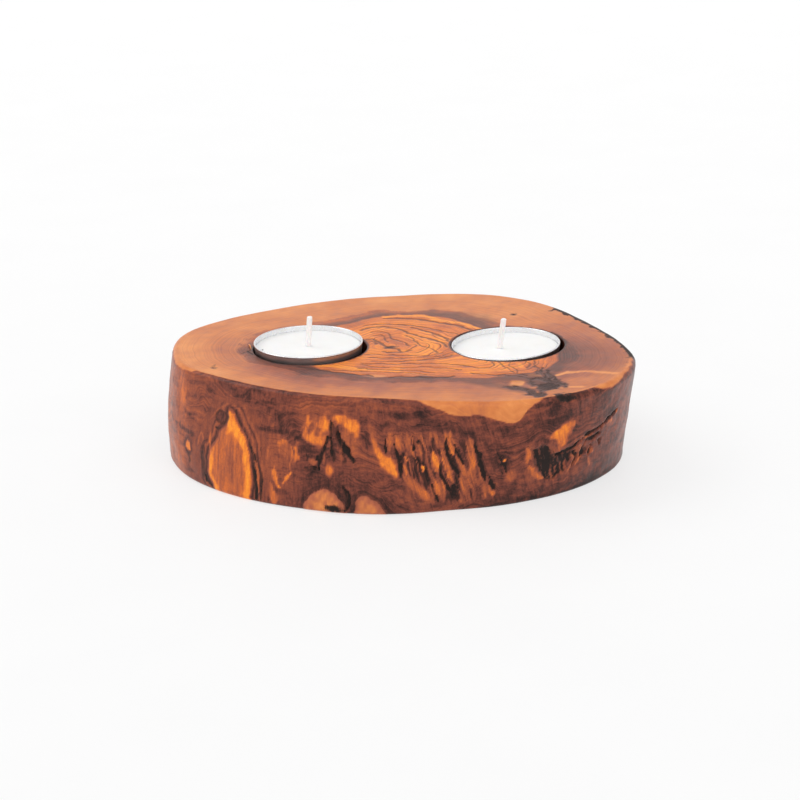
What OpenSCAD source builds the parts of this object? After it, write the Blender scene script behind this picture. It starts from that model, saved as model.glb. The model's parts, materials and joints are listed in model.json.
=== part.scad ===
// Live-edge wooden holder for two tealights: a slab cut across a trunk, with two
// bores that each take a tealight. A tealight is an aluminium cup, a wax filling,
// a wick and the metal tab that holds the wick. Millimetres, +Z up, origin on the
// resting plane below the middle of the slab.

/* [Slab] */
// Thickness of the slab
slab_height = 39; // [32:0.5:46]
// Rounding of the upper edge
top_round = 2; // [1:0.25:3]
// Rounding of the lower edge
base_round = 1.5; // [1:0.25:2.5]
// How far the bark side swells at half height, at the left end
left_swell = 1.5; // [0:0.1:3]

/* [Bores] */
// Radius of the flat-bottomed bores
bore_radius = 20; // [19.5:0.1:22]
// Distance between the two bores
bore_spacing = 69.5; // [64:0.5:76]
// Middle of the bores, left to right
bores_x = 3.7; // [0:0.1:6]
// Middle of the bores, front to back
bores_y = -0.8; // [-4:0.1:4]
// Depth of the left bore
left_bore_depth = 13.5; // [12:0.1:15.5]
// Depth of the right bore
right_bore_depth = 15.6; // [12:0.1:15.8]
// How far the right bore leans to the left, in degrees
right_bore_lean = 1.5; // [0:0.5:2]
// Gap on the left of each cup, which sits off centre in its bore
play_left = 0.25; // [0.15:0.05:0.8]

/* [Tealight cup] */
// Height of the cup
cup_height = 16; // [16:0.5:18]
// Outer radius of the rolled rim
rim_radius = 19.15; // [18.9:0.05:19.2]
// Radius of the rim's rolled bead
bead_radius = 0.32; // [0.3:0.02:0.4]
// Outer radius of the wall at the base
cup_base_radius = 18.3; // [17.8:0.1:18.5]
// Sheet thickness
sheet = 0.25; // [0.2:0.05:0.3]
// Height of the stamped panel in the base
panel_rise = 0.6; // [0.3:0.1:0.8]
// Radius of the stamped panel
panel_radius = 14.6; // [12:0.2:15.4]

/* [Wax and wick] */
// Depth of the wax below the rim
wax_below_rim = 2.1; // [1.5:0.1:4]
// Gap between the wax and the cup's wall
wax_gap = 0.15; // [0.1:0.05:0.3]
// Radius of the wick
wick_radius = 1; // [0.7:0.05:1.1]
// Height of the wick above the rim
wick_above_rim = 8.9; // [4:0.1:12]
// Radius of the wick tab's disc
tab_radius = 6.75; // [5:0.25:7.5]
// Height of the wick tab's neck
neck_height = 3.9; // [2:0.1:6]
// Lean of the left wick to the right, in degrees
left_wick_lean = 4.5; // [0:0.5:10]
// Lean of the right wick to the right, in degrees
right_wick_lean = 9.5; // [0:0.5:12]
// Offset of the right wick from the middle of its cup
right_wick_offset = -2.1; // [-3:0.1:3]

/* [Hidden] */
$fn = 96;
around = 96;        // vertices in each ring of the slab
swell_rings = 6;    // rings between the two rounded edges
round_rings = 3;    // steps in each rounded edge
point_depth = 1.6;  // mark of the drill's centre point
point_radius = 1.5;
overcut = 1;
running_gap = 0.05; // between the wick, its tab and the wax
tab_sheet = 0.3;

// Radii of the slab's outline every 15 degrees, from +X towards +Y.
top_outline = [79, 74, 73, 73.5, 72, 67.5, 63.5, 63.5, 64.5, 67.5, 73.5, 79.5,
               79.5, 77, 68.5, 63.5, 61, 59, 60.5, 66, 74.5, 82, 85.5, 84.5];
base_outline = [78.5, 73.5, 72, 72.5, 70, 66, 62.5, 62, 64, 67, 72.5, 78.5,
                81.5, 79, 74.5, 70, 66.5, 65, 64, 63.5, 66.5, 70.5, 75, 78.5];

left_x = bores_x - bore_spacing / 2;
right_x = bores_x + bore_spacing / 2;
cup_shift = rim_radius + play_left - bore_radius;
wall_top_radius = rim_radius - bead_radius - sheet / 4;
floor_top = panel_rise + sheet;
wax_level = cup_height - wax_below_rim;

// Smooth closed curve through evenly spaced radii: a periodic cubic (Catmull-Rom).
function smooth_radius(radii, angle) =
    let (n = len(radii), s = angle / 360 * n, i = floor(s), t = s - i,
         a = radii[(i + n - 1) % n], b = radii[i % n],
         c = radii[(i + 1) % n], d = radii[(i + 2) % n])
    b + t * (c - a) / 2 + t * t * (a - 2.5 * b + 2 * c - d / 2)
      + t * t * t * (1.5 * b - a / 2 - 1.5 * c + d / 2);

// Radius of the bark side at an angle and a height, without the edge rounding.
function side_radius(angle, z) =
    let (up = z / slab_height,
         low = smooth_radius(base_outline, angle),
         high = smooth_radius(top_outline, angle),
         swell = left_swell * (1 - cos(angle)) / 2)
    low + (high - low) * up + swell * sin(180 * up);

// [height, inset] of every ring, from the resting face to the top face.
profile = concat(
    [for (i = [0:round_rings]) let (a = 90 * i / round_rings)
        [base_round * (1 - cos(a)), base_round * (1 - sin(a))]],
    [for (i = [1:swell_rings])
        [base_round + (slab_height - top_round - base_round) * i / (swell_rings + 1), 0]],
    [for (i = [0:round_rings]) let (a = 90 * i / round_rings)
        [slab_height - top_round * (1 - sin(a)), top_round * (1 - cos(a))]]);

module slab_body() {
    rings = len(profile);
    points = [for (p = profile) for (k = [0:around - 1])
        let (angle = 360 * k / around, r = side_radius(angle, p[0]) - p[1])
        [r * cos(angle), r * sin(angle), p[0]]];
    walls = [for (j = [0:rings - 2]) for (k = [0:around - 1])
        let (a = j * around + k, b = j * around + (k + 1) % around)
        each [[a, a + around, b], [b, a + around, b + around]]];
    caps = [[for (k = [0:around - 1]) k],
            [for (k = [around - 1:-1:0]) (rings - 1) * around + k]];
    polyhedron(points, concat(walls, caps));
}

// Flat-bottomed hole with the mark of the drill's point, from a mouth at z = 0.
module bore(depth) {
    translate([0, 0, -depth]) cylinder(r = bore_radius, h = depth + overcut);
    translate([0, 0, -depth - point_depth])
        cylinder(r1 = 0.2, r2 = point_radius, h = point_depth + 0.01);
}

module at_left_bore() {
    translate([left_x, bores_y, slab_height]) children();
}

module at_right_bore() {
    translate([right_x, bores_y, slab_height]) rotate([0, -right_bore_lean, 0]) children();
}

// Places a tealight on the floor of its bore, off centre by the play.
module seated(depth) {
    translate([cup_shift, 0, -depth]) children();
}

module block() {
    color("sienna") difference() {
        slab_body();
        at_left_bore() bore(left_bore_depth);
        at_right_bore() bore(right_bore_depth);
    }
}

module cup() {
    rim_z = cup_height - bead_radius;
    color("gainsboro") union() {
        rotate_extrude() polygon([
            [0, panel_rise], [panel_radius, panel_rise], [panel_radius + 0.6, 0],
            [cup_base_radius - 0.4, 0], [cup_base_radius, 0.4],
            [wall_top_radius + sheet / 2, rim_z], [wall_top_radius - sheet / 2, rim_z],
            [cup_base_radius - sheet, 0.4 + sheet], [cup_base_radius - 0.4 - sheet / 2, sheet],
            [panel_radius + 0.6 + sheet / 2, sheet], [panel_radius + sheet / 2, floor_top],
            [0, floor_top]]);
        rotate_extrude() translate([rim_radius - bead_radius, rim_z]) circle(r = bead_radius);
    }
}

module wax(wick_x) {
    slope = (wall_top_radius - cup_base_radius + sheet / 2) / (cup_height - 1);
    inside = cup_base_radius - sheet - wax_gap;
    outside_panel = panel_radius + sheet / 2 + wax_gap;
    color("whitesmoke") difference() {
        rotate_extrude() polygon([
            [0, floor_top], [outside_panel, floor_top],
            [outside_panel + 0.6, sheet + running_gap],
            [inside - 0.4, sheet + running_gap], [inside, 0.4 + sheet],
            [inside + slope * (wax_level + 0.2), wax_level + 0.2],
            [inside - 0.6, wax_level], [0, wax_level - 0.1]]);
        translate([wick_x, 0, 0]) cylinder(r = wick_radius + running_gap, h = cup_height);
        translate([wick_x, 0, 0])
            cylinder(r = wick_radius + tab_sheet + 2 * running_gap + 0.1,
                     h = floor_top + tab_sheet + neck_height + running_gap);
        translate([wick_x, 0, 0])
            cylinder(r = tab_radius + 0.2, h = floor_top + tab_sheet + running_gap);
    }
}

module wick_tab(wick_x) {
    color("silver") translate([wick_x, 0, floor_top]) difference() {
        union() {
            cylinder(r = tab_radius, h = tab_sheet);
            cylinder(r = wick_radius + tab_sheet + 0.1, h = tab_sheet + neck_height);
        }
        translate([0, 0, -overcut]) cylinder(r = wick_radius + 0.02, h = cup_height);
    }
}

module wick(wick_x, lean) {
    foot = floor_top + running_gap;
    bend = wax_level + 0.3;
    color("white") union() {
        translate([wick_x, 0, foot]) cylinder(r = wick_radius - 0.05, h = bend + 0.2 - foot);
        translate([wick_x, 0, bend]) rotate([0, lean, 0])
            cylinder(r = wick_radius, h = (cup_height + wick_above_rim - bend) / cos(lean));
    }
}

block();
at_left_bore() seated(left_bore_depth) cup();  // left_cup
at_left_bore() seated(left_bore_depth) wax(0);  // left_wax
at_left_bore() seated(left_bore_depth) wick_tab(0);  // left_wick_tab
at_left_bore() seated(left_bore_depth) wick(0, left_wick_lean);  // left_wick
at_right_bore() seated(right_bore_depth) cup();  // right_cup
at_right_bore() seated(right_bore_depth) wax(right_wick_offset);  // right_wax
at_right_bore() seated(right_bore_depth) wick_tab(right_wick_offset);  // right_wick_tab
at_right_bore() seated(right_bore_depth) wick(right_wick_offset, right_wick_lean);  // right_wick
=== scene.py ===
import json
import math

import bpy
import numpy as np
from mathutils import Matrix, Vector
from mathutils.bvhtree import BVHTree
from mathutils.geometry import delaunay_2d_cdt


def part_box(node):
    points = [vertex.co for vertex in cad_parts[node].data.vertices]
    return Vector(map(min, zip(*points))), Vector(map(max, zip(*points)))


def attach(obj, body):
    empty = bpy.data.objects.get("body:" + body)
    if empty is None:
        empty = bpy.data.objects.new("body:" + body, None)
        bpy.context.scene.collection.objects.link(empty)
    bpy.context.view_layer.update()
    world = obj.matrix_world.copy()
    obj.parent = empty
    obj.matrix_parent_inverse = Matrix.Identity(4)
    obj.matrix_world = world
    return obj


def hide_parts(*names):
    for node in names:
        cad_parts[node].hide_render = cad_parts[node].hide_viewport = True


# Live-edge tealight holder: the slab is rebuilt as one finely meshed piece with the
# figure of its wood, and the two tealights are rebuilt inside their CAD places.
# Shapes are worked out in millimetres and turned into metres when a mesh is made.

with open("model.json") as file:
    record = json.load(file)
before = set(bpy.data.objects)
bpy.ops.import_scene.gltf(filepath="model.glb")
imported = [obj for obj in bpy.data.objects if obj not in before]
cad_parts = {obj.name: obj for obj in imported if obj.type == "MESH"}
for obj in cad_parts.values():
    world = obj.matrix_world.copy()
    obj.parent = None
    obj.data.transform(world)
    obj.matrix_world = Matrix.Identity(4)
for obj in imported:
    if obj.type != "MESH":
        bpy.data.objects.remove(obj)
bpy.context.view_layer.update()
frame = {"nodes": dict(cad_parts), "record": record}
MM = 0.001


# ---------------------------------------------------------------- sizes from the frame

def box_mm(node):
    """Lowest and highest corner of a CAD node, in millimetres."""
    low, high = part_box(node)
    return np.array(low) / MM, np.array(high) / MM


SLAB_LOW, SLAB_HIGH = box_mm("block")
SLAB_TOP = SLAB_HIGH[2]
TOP_ROUND = 2.0           # radius of the rounded upper edge
BASE_ROUND = 1.5
BORE_RADIUS = 20.0
BORE_EASE = 0.35          # softened mouth of a bore
POINT_RADIUS = 1.5        # mark of the drill's centre point
POINT_DEPTH = 1.55
CUP_LOW, CUP_HIGH = box_mm("left_cup")
CUP_HEIGHT = CUP_HIGH[2] - CUP_LOW[2]
RIM_RADIUS = (CUP_HIGH[0] - CUP_LOW[0]) / 2
CUP_SHIFT = -0.6          # the cups sit against the left of their bores
WAX_LEVEL = box_mm("left_wax")[1][2] - CUP_LOW[2] - 0.2
WICK_TOP = box_mm("left_wick")[1][2] - CUP_LOW[2]
LEANS = {"left": 4.5, "right": 9.5}          # of the wicks, in degrees
WICK_OFFSETS = {"left": 0.0, "right": -2.1}  # from the middle of the cup


def lift_axis(side):
    """Direction in which a tealight leaves its bore."""
    for joint in frame["record"]["behaviour"]["joints"]:
        if joint["name"] == side + "_tealight_lift":
            return Vector(joint["axis"]).normalized()
    raise ValueError(side)


def tealight_matrix(side):
    """Places a tealight's own millimetres, from the middle of its base, in the row frame."""
    low, high = box_mm(side + "_cup")
    axis = lift_axis(side)
    base = Vector((low + high) / 2) - axis * (CUP_HEIGHT / 2)
    sideways = Vector((axis.z, 0, -axis.x))
    turn = Matrix((sideways, Vector((0, 1, 0)), axis)).transposed().to_4x4()
    return Matrix.Translation(base) @ turn


PLACES = {side: np.array(tealight_matrix(side)) for side in ("left", "right")}


def placed(side, points):
    """A tealight's own millimetres turned into those of the row frame."""
    place = PLACES[side]
    return points @ place[:3, :3].T + place[:3, 3]


# ---------------------------------------------------------------- numeric helpers

def wave_noise(points, wavelength, seed, octaves=3):
    """Smooth field of about -1 to 1: waves in seeded directions, each octave half as long."""
    rng = np.random.default_rng(seed)
    total = np.zeros(len(points))
    gain = 1.0
    for _ in range(octaves):
        waves = rng.normal(size=(14, 3))
        waves /= np.linalg.norm(waves, axis=1, keepdims=True)
        waves *= 2 * math.pi / wavelength * rng.uniform(0.6, 1.5, (14, 1))
        phases = rng.uniform(0, 2 * math.pi, 14)
        total += gain * np.sin(points @ waves.T + phases).sum(axis=1) / 4
        gain *= 0.55
        wavelength /= 2.1
    return total


def smooth(low, high, value):
    """0 below low, 1 above high, with a soft step between."""
    t = np.clip((value - low) / (high - low), 0, 1)
    return t * t * (3 - 2 * t)


def between(a, b, c, d, t):
    """Smooth step from b to c as t goes from 0 to 1, led by their neighbours a and d."""
    return (b + t * (c - a) / 2 + t * t * (a - 2.5 * b + 2 * c - d / 2)
            + t ** 3 * (1.5 * b - a / 2 - 1.5 * c + d / 2))


def bearing(x, y):
    """Angle of a direction from +X towards +Y, in degrees."""
    return np.degrees(np.arctan2(y, x))


def turn_from(middle, angle):
    """Signed turn from the middle to an angle, -180 to 180 degrees."""
    return (angle - middle + 180) % 360 - 180


def periodic(values, angle):
    """Smooth closed curve through evenly spaced values, at angles in degrees."""
    values = np.asarray(values, float)
    count = len(values)
    place = (np.asarray(angle, float) % 360) / 360 * count
    i = np.floor(place).astype(int)
    return between(*(values[(i + k) % count] for k in (-1, 0, 1, 2)), place - i)


def curve(points, steps=5):
    """A smooth line through a few points."""
    p = np.asarray(points, float)
    if len(p) < 3:
        return p
    ends = np.vstack([2 * p[0] - p[1], p, 2 * p[-1] - p[-2]])
    out = []
    for i in range(1, len(ends) - 2):
        out += [between(*ends[i - 1:i + 3], t) for t in np.linspace(0, 1, steps, endpoint=False)]
    out.append(p[-1])
    return np.array(out)


REACH = 10.0         # how far from a line its distance is worked out, in millimetres
FAR_SQUARED = 9801.0  # stands for the square of a distance beyond that
NO_LINE = 9.0        # distance to a marked line where there is none


def distance(u, v, points, with_place=False):
    """Distance from every (u, v) to a smooth line through the points, and how far along it."""
    line = curve(points)
    best = np.full(len(u), FAR_SQUARED)
    along = np.zeros(len(u))
    low, high = line.min(axis=0) - REACH, line.max(axis=0) + REACH
    near = (u > low[0]) & (u < high[0]) & (v > low[1]) & (v < high[1])
    u, v = u[near], v[near]
    nearest = np.full(len(u), FAR_SQUARED)
    place = np.zeros(len(u))
    count = len(line) - 1
    for i in range(count):
        (ax, ay), (bx, by) = line[i], line[i + 1]
        dx, dy = bx - ax, by - ay
        t = np.clip(((u - ax) * dx + (v - ay) * dy) / (dx * dx + dy * dy + 1e-9), 0, 1)
        gap = (u - ax - t * dx) ** 2 + (v - ay - t * dy) ** 2
        closer = gap < nearest
        nearest = np.where(closer, gap, nearest)
        place = np.where(closer, (i + t) / count, place)
    best[near] = nearest
    along[near] = place
    return (np.sqrt(best), along) if with_place else np.sqrt(best)


def blob(u, v, outline):
    """Distance inside a smooth closed outline, in millimetres: 0 on its edge, positive within."""
    closed = [*outline, outline[0]]
    gap = distance(u, v, closed)
    line = curve(closed)
    inside = np.zeros(len(u), bool)
    for (ax, ay), (bx, by) in zip(line[:-1], line[1:]):
        crosses = (ay > v) != (by > v)
        inside ^= crosses & (u < ax + (bx - ax) * (v - ay) / (by - ay + 1e-12))
    return np.where(inside, gap, -gap)


def oval(u, v, place, size, slant=0.0):
    """Distance inside an oval, in millimetres: 0 on its edge, positive within."""
    du = u - place[0] - slant * (v - place[1])
    dv = v - place[1]
    return (1 - np.hypot(du / size[0], dv / size[1])) * min(size)


class Paint:
    """What the wood looks like at each vertex: the fields that its material reads."""

    def __init__(self, points, tone):
        count = len(points)
        self.points = points
        self.tone = np.full(count, float(tone))  # 0 dark red-brown to 1 amber
        self.pale = np.zeros(count)              # sapwood
        self.stain = np.zeros(count)             # purple-grey heart edge
        self.char = np.zeros(count)              # black, split and burnt
        self.line = np.full(count, NO_LINE)      # distance to a dark line's edge
        self.ring = np.zeros(count)              # growth-ring coordinate
        self.contour = np.zeros(count)           # how strongly ring lines show
        self.relief = np.zeros(count)            # outward, millimetres
        self.layered = np.zeros(count)           # 1 where ring lines carry the grain, 0 fibres

    def blend(self, name, mask, value):
        """Moves a field towards a value where the mask is 1."""
        field = getattr(self, name)
        setattr(self, name, field + (value - field) * mask)

    def blend_all(self, mask, **values):
        """Moves several fields towards their values."""
        for name, value in values.items():
            self.blend(name, mask, value)

    def mark(self, width, gap):
        """A dark line: gap is the distance to its middle."""
        self.line = np.minimum(self.line, gap - width / 2 - 0.08)

    def burn(self, mask, black):
        """Blackens the wood, and leaves it where it is blacker already."""
        self.char = np.maximum(self.char, mask * black)


# ---------------------------------------------------------------- the slab's form

def slab_radii(angles, heights):
    """Radius of the CAD slab's bark side, found by rays from outside, and smoothed."""
    mesh = frame["nodes"]["block"].data
    tree = BVHTree.FromPolygons([v.co for v in mesh.vertices], [p.vertices[:] for p in mesh.polygons])
    far = 0.2
    table = np.zeros((len(heights), len(angles)))
    for row, z in enumerate(heights):
        for column, angle in enumerate(np.radians(angles)):
            out = Vector((math.cos(angle), math.sin(angle), 0))
            hit = tree.ray_cast(out * far + Vector((0, 0, z * MM)), -out)[0]
            table[row, column] = math.hypot(hit.x, hit.y) / MM
    spectrum = np.fft.rfft(table, axis=1)
    order = np.arange(spectrum.shape[1])
    spectrum *= 1 - smooth(22, 40, order)
    return np.fft.irfft(spectrum, n=len(angles), axis=1)


TABLE_ANGLES = np.arange(0, 360, 0.75)
TABLE_HEIGHTS = np.linspace(BASE_ROUND + 0.1, SLAB_TOP - TOP_ROUND - 0.1, 9)
TABLE = slab_radii(TABLE_ANGLES, TABLE_HEIGHTS)


def slab_radius(angle, z):
    """Radius of the bark side at angles in degrees and heights in millimetres."""
    column = (angle % 360) / (TABLE_ANGLES[1] - TABLE_ANGLES[0])
    row = (z - TABLE_HEIGHTS[0]) / (TABLE_HEIGHTS[1] - TABLE_HEIGHTS[0])
    row = np.clip(row, 0, len(TABLE_HEIGHTS) - 1.001)
    c0 = np.floor(column).astype(int)
    r0 = np.floor(row).astype(int)
    tc, tr = column - c0, row - r0
    c0 %= TABLE.shape[1]
    c1 = (c0 + 1) % TABLE.shape[1]
    low = TABLE[r0, c0] * (1 - tc) + TABLE[r0, c1] * tc
    high = TABLE[r0 + 1, c0] * (1 - tc) + TABLE[r0 + 1, c1] * tc
    return low * (1 - tr) + high * tr


# ---------------------------------------------------------------- figure of the top

# Where the heartwood ends, every 15 degrees from +X towards +Y, about the pith.
PITH = (-2.3, -1.8)
HEART_EDGE = [
    56, 50, 39, 38, 39, 38.5, 37.5, 35.5, 34, 36, 42, 46, 47, 45, 37, 35, 34.2, 34.2, 34, 35.5, 40, 52,
    58, 60
]
# How far the purple-grey stain spreads outside it, at the same angles.
STAIN_SPREAD = [12, 9, 8, 13, 13, 11, 8, 5, 4.5, 5, 5, 6, 10, 8, 8, 9.5, 7, 4.5, 4, 5, 5, 7, 16, 16]
STAIN_STRENGTH = [0.5, 0.6, 1, 1, 1, 1, 1, 1, 0.9, 0.8, 0.7, 0.4,
                  0.7, 0.8, 0.9, 1, 1, 0.7, 0.6, 0.8, 0.6, 0.8, 0.5, 0.2]
# Tone of the sapwood next to the heart and next to the bark, at the same angles.
INNER_SHADE = [0.22, 0.3, 0.48, 0.55, 0.55, 0.55, 0.52, 0.5, 0.5, 0.48, 0.46, 0.42,
               0.4, 0.36, 0.26, 0.2, 0.2, 0.24, 0.26, 0.28, 0.3, 0.3, 0.2, 0.16]
OUTER_SHADE = [0.3, 0.42, 0.52, 0.56, 0.58, 0.6, 0.6, 0.58, 0.58, 0.56, 0.56, 0.6,
               0.66, 0.66, 0.56, 0.49, 0.48, 0.49, 0.51, 0.53, 0.48, 0.45, 0.44, 0.36]

# Dark growth lines that stand out: width, then the points of each line.
DARK_LINES = [
    (1.0, [(-5, 33.3), (1, 32.6), (6, 31.8), (10, 30), (16, 26), (22.5, 21.2), (26, 16)]),
    (0.5, [(-13, 24), (-8, 26), (0, 25), (5, 23.8), (9, 21), (14, 17.5), (22, 11.3)]),
    (0.8, [(-13, 19), (-8, 22.5), (-1, 20.6), (4.3, 13.5), (11, 7.2), (15.5, 2), (16.8, -3)]),
    (0.6, [(5, 21), (10, 16.5), (13, 12.8), (17, 6.5), (18.4, 2)]),
    (0.5, [(2.5, 11.5), (5, 7.2), (6.7, 3), (7.8, -1), (11.5, -4.5), (13.5, -9)]),
    (0.35, [(-10, 15.5), (-7, 16.5), (-3.5, 14.5), (-2.2, 8.5), (1.5, 4), (3.5, -1)]),
    (0.35, [(-9, 12), (-6, 12.5), (-4.5, 8), (-3.6, 4)]),
    (0.9, [(-12, 7), (-9, 8.2), (-7.2, 4.5), (-5.5, 0.8), (-3, -3), (-0.5, -4.5), (1, -7)]),
    (0.8, [(-5.5, -6.6), (-3, -8.2), (1, -7.8), (4.5, -5.5)]),
    (0.5, [(-12, 4.6), (-9.5, 5.6), (-7.6, 2)]),
    (0.4, [(-12, -9.6), (-8, -9.8), (-3, -11.3), (4, -12), (11, -12), (15, -9.5)]),
    (0.35, [(-10, -14), (-2, -14.8), (6, -14.6), (14, -14), (17.5, -10)]),
    (0.45, [(-9, -17.5), (-3, -18.6), (5, -18), (14, -16), (19, -12)]),
    (0.5, [(-12, -20.5), (-4, -21), (6, -21.5), (14, -21.6), (21, -24), (27, -27.4), (31, -27),
        (32.3, -24), (31.5, -20.5)]),
    (0.4, [(-13, -21.5), (-6, -24.6), (3, -25.8), (9, -25), (15, -26.3), (21, -29)]),
    (0.4, [(-14, -25.5), (-8, -27), (0, -28.4), (6, -29.5), (12, -32)]),
    (0.4, [(-26, -26), (-17, -27.8), (-7, -30), (3, -31.4), (9, -34)]),
    (0.9, [(-47, -9), (-41, -17), (-34, -22.3), (-25, -27.6), (-16, -31.8), (-9, -34.6)]),
    (0.8, [(-3, -36.2), (1, -35.4), (6, -36.8), (12, -37.4), (19, -36.2)]),
    (0.5, [(24, -33), (32, -35.5), (39, -34.5), (43, -37)]),
    (0.35, [(34, -20.5), (36, -26), (38.5, -33)]),
    (0.3, [(38.8, -20.5), (38.2, -25.5), (40.2, -30.5), (40, -34)]),
    (0.3, [(43.5, -20), (44.6, -25), (43.6, -29)]),
    (0.3, [(46.6, -20), (46.2, -25.5), (47.8, -30)]),
    (0.3, [(48.8, -28.5), (47.8, -33), (48.6, -38)]),
    (0.3, [(51.4, -31), (50.2, -36), (51.2, -40)]),
]
# Amber streaks: half width, tone, points.
AMBER_STREAKS = [
    (1.3, 1.0, [(-5, 35.3), (0, 35.6), (5, 35.4), (9, 35.4), (12, 32.8), (15, 29.6), (19.5, 27.2),
        (23, 25), (26, 21.3), (29, 18)]),
    (1.1, 1.0, [(-28, -21.2), (-24, -22.2), (-18, -24.6), (-8, -27.6), (0, -29.4)]),
    (0.9, 0.9, [(28, -31), (33, -29.8), (37, -30.4)]),
    (0.7, 0.95, [(35.6, -21.5), (35, -27)]),
    (0.9, 0.95, [(40.8, -22.5), (42.4, -28)]),
    (0.8, 0.85, [(33.3, -26), (34, -31)]),
    (0.8, 0.85, [(2, -31.5), (9, -33.8)]),
    (1.5, 0.85, [(-11, 20.4), (-7, 20.6), (-2, 19)]),
]
# Soft lighter or darker areas: place, half size, field, value.
TOP_AREAS = [
    ((7, 12), (6, 6), "tone", 0.86),
    ((9, -8), (6, 4), "tone", 0.86),
    ((-8.5, -3), (3.5, 5), "tone", 0.84),
    ((22, -20), (10, 5), "tone", 0.85),
    ((5, 28), (9, 2.6), "tone", 0.8),
    ((39, -44.5), (2.6, 4), "tone", 0.95),
    ((46, -36.6), (3, 1.6), "tone", 0.95),
    ((-8, -34.2), (4.4, 1.5), "pale", 0.9),
    ((56, -50.8), (7, 2.2), "pale", 1.0),
    ((47.4, -56.2), (1.6, 1.6), "pale", 0.9),
    ((57, -34), (5, 1.0), "pale", 0.9),
    ((66, -35), (8, 1.1), "pale", 0.8),
    ((36, -56), (7, 4), "pale", 1.0),
]
# Thin pale streaks beside the knot: half width, points.
PALE_STREAKS = [
    (1.0, [(53, -37), (57, -34.6), (62, -33.4), (68, -34.4), (75, -37)]),
    (0.8, [(50, -52.4), (55, -50), (61, -49.6)]),
    (0.7, [(45.2, -56.8), (45.4, -54.6)]),
]


def bark_strip(angle):
    """1 along the back-right edge, where bark was left on."""
    return smooth(-16, -10, angle) * (1 - smooth(34, 39, angle))


def dead_knot(paint, x, y):
    """The dead knot at the front right and the trails that run from it."""
    ragged = 0.5 * wave_noise(paint.points, 3.4, 71, 2)
    knot = blob(x, y, [
        (43.8, -41.8), (45, -39.2), (47.8, -38.4), (50.2, -39.6), (51.6, -42), (54, -42.6), (55, -45.6),
        (53.8, -49.2), (51.6, -51.8), (48.4, -53), (45, -51.8), (46.2, -48.6), (44.4, -46.8),
        (43.2, -44.4)
    ]) + ragged
    core = oval(x, y, (46.9, -43.4), (2.1, 2.9), -0.2) + ragged
    dark = smooth(-0.8, 0.8, knot) * (1 - smooth(-0.3, 1.0, core))
    paint.blend_all(smooth(-2.0, 0.6, knot), stain=1.0, pale=0.0)
    paint.burn(dark, 0.54)
    for place, size, black in (
        ((49.6, -48.2), (3.6, 3.4), 0.7),
        ((38.5, -48.3), (1.7, 1.2), 0.72),
        ((44.8, -39.8), (1.4, 1.0), 0.66),
        ((50.4, -40.4), (0.8, 3.2), 0.66),
        ((53.6, -58.6), (2.6, 2.2), 0.8),
        ((43.4, -55.6), (1.4, 2.4), 0.6),
        ((46.6, -56.4), (1.3, 2.2), 0.6),
        ((55, -47.6), (1.0, 1.8), 0.55),
    ):
        inside = oval(x, y, place, size) + ragged
        paint.blend_all(smooth(-1.2, 0.8, inside), stain=1.0, pale=0.0)
        paint.burn(smooth(-0.6, 0.8, inside), black)
    for half, black, line in (
        (1.7, 0.5, [(36, -48.4), (40, -51), (43, -53), (44.6, -56.6), (46.4, -60)]),
        (0.5, 0.6, [(49, -28.6), (48.4, -32), (49.2, -35), (49, -39)]),
        (0.5, 0.6, [(50.6, -31), (50.6, -35), (51.8, -38.6), (52.6, -42)]),
        (0.4, 0.5, [(46, -27), (47, -31), (46.4, -36)]),
        (0.4, 0.5, [(34, -36), (40, -37.5), (44, -40)]),
    ):
        trail = 1 - smooth(0.4, 1.4, (distance(x, y, line) + 0.5 * ragged) / half)
        paint.blend_all(trail, stain=1.0, pale=0.0)
        paint.burn(trail, black)
    smear = distance(x, y, [(24, -41.6), (30, -45.4), (36, -48.4), (41, -52)])
    paint.blend("stain", 1 - smooth(1.0, 4.5, smear), 0.75)


def torn_grain(paint, x, y):
    """Torn grain beside the left bore."""
    for line in (
        [(-52.4, 0.5), (-51.6, -2.6), (-50.6, -5)],
        [(-51.6, -1), (-50.4, -4.6)],
        [(-53, -3), (-51.4, -6.4), (-49.8, -8.4)],
        [(-50.8, -5.4), (-48.6, -9)],
    ):
        torn = 1 - smooth(0.2, 0.7, distance(x, y, line))
        paint.burn(torn, 0.7)
    specks = smooth(-1, 1.5, oval(x, y, (-52.8, -5), (3, 5.5)))
    specks *= smooth(0.1, 0.8, wave_noise(paint.points, 1.7, 72, 2))
    paint.burn(specks, 0.55)


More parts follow.
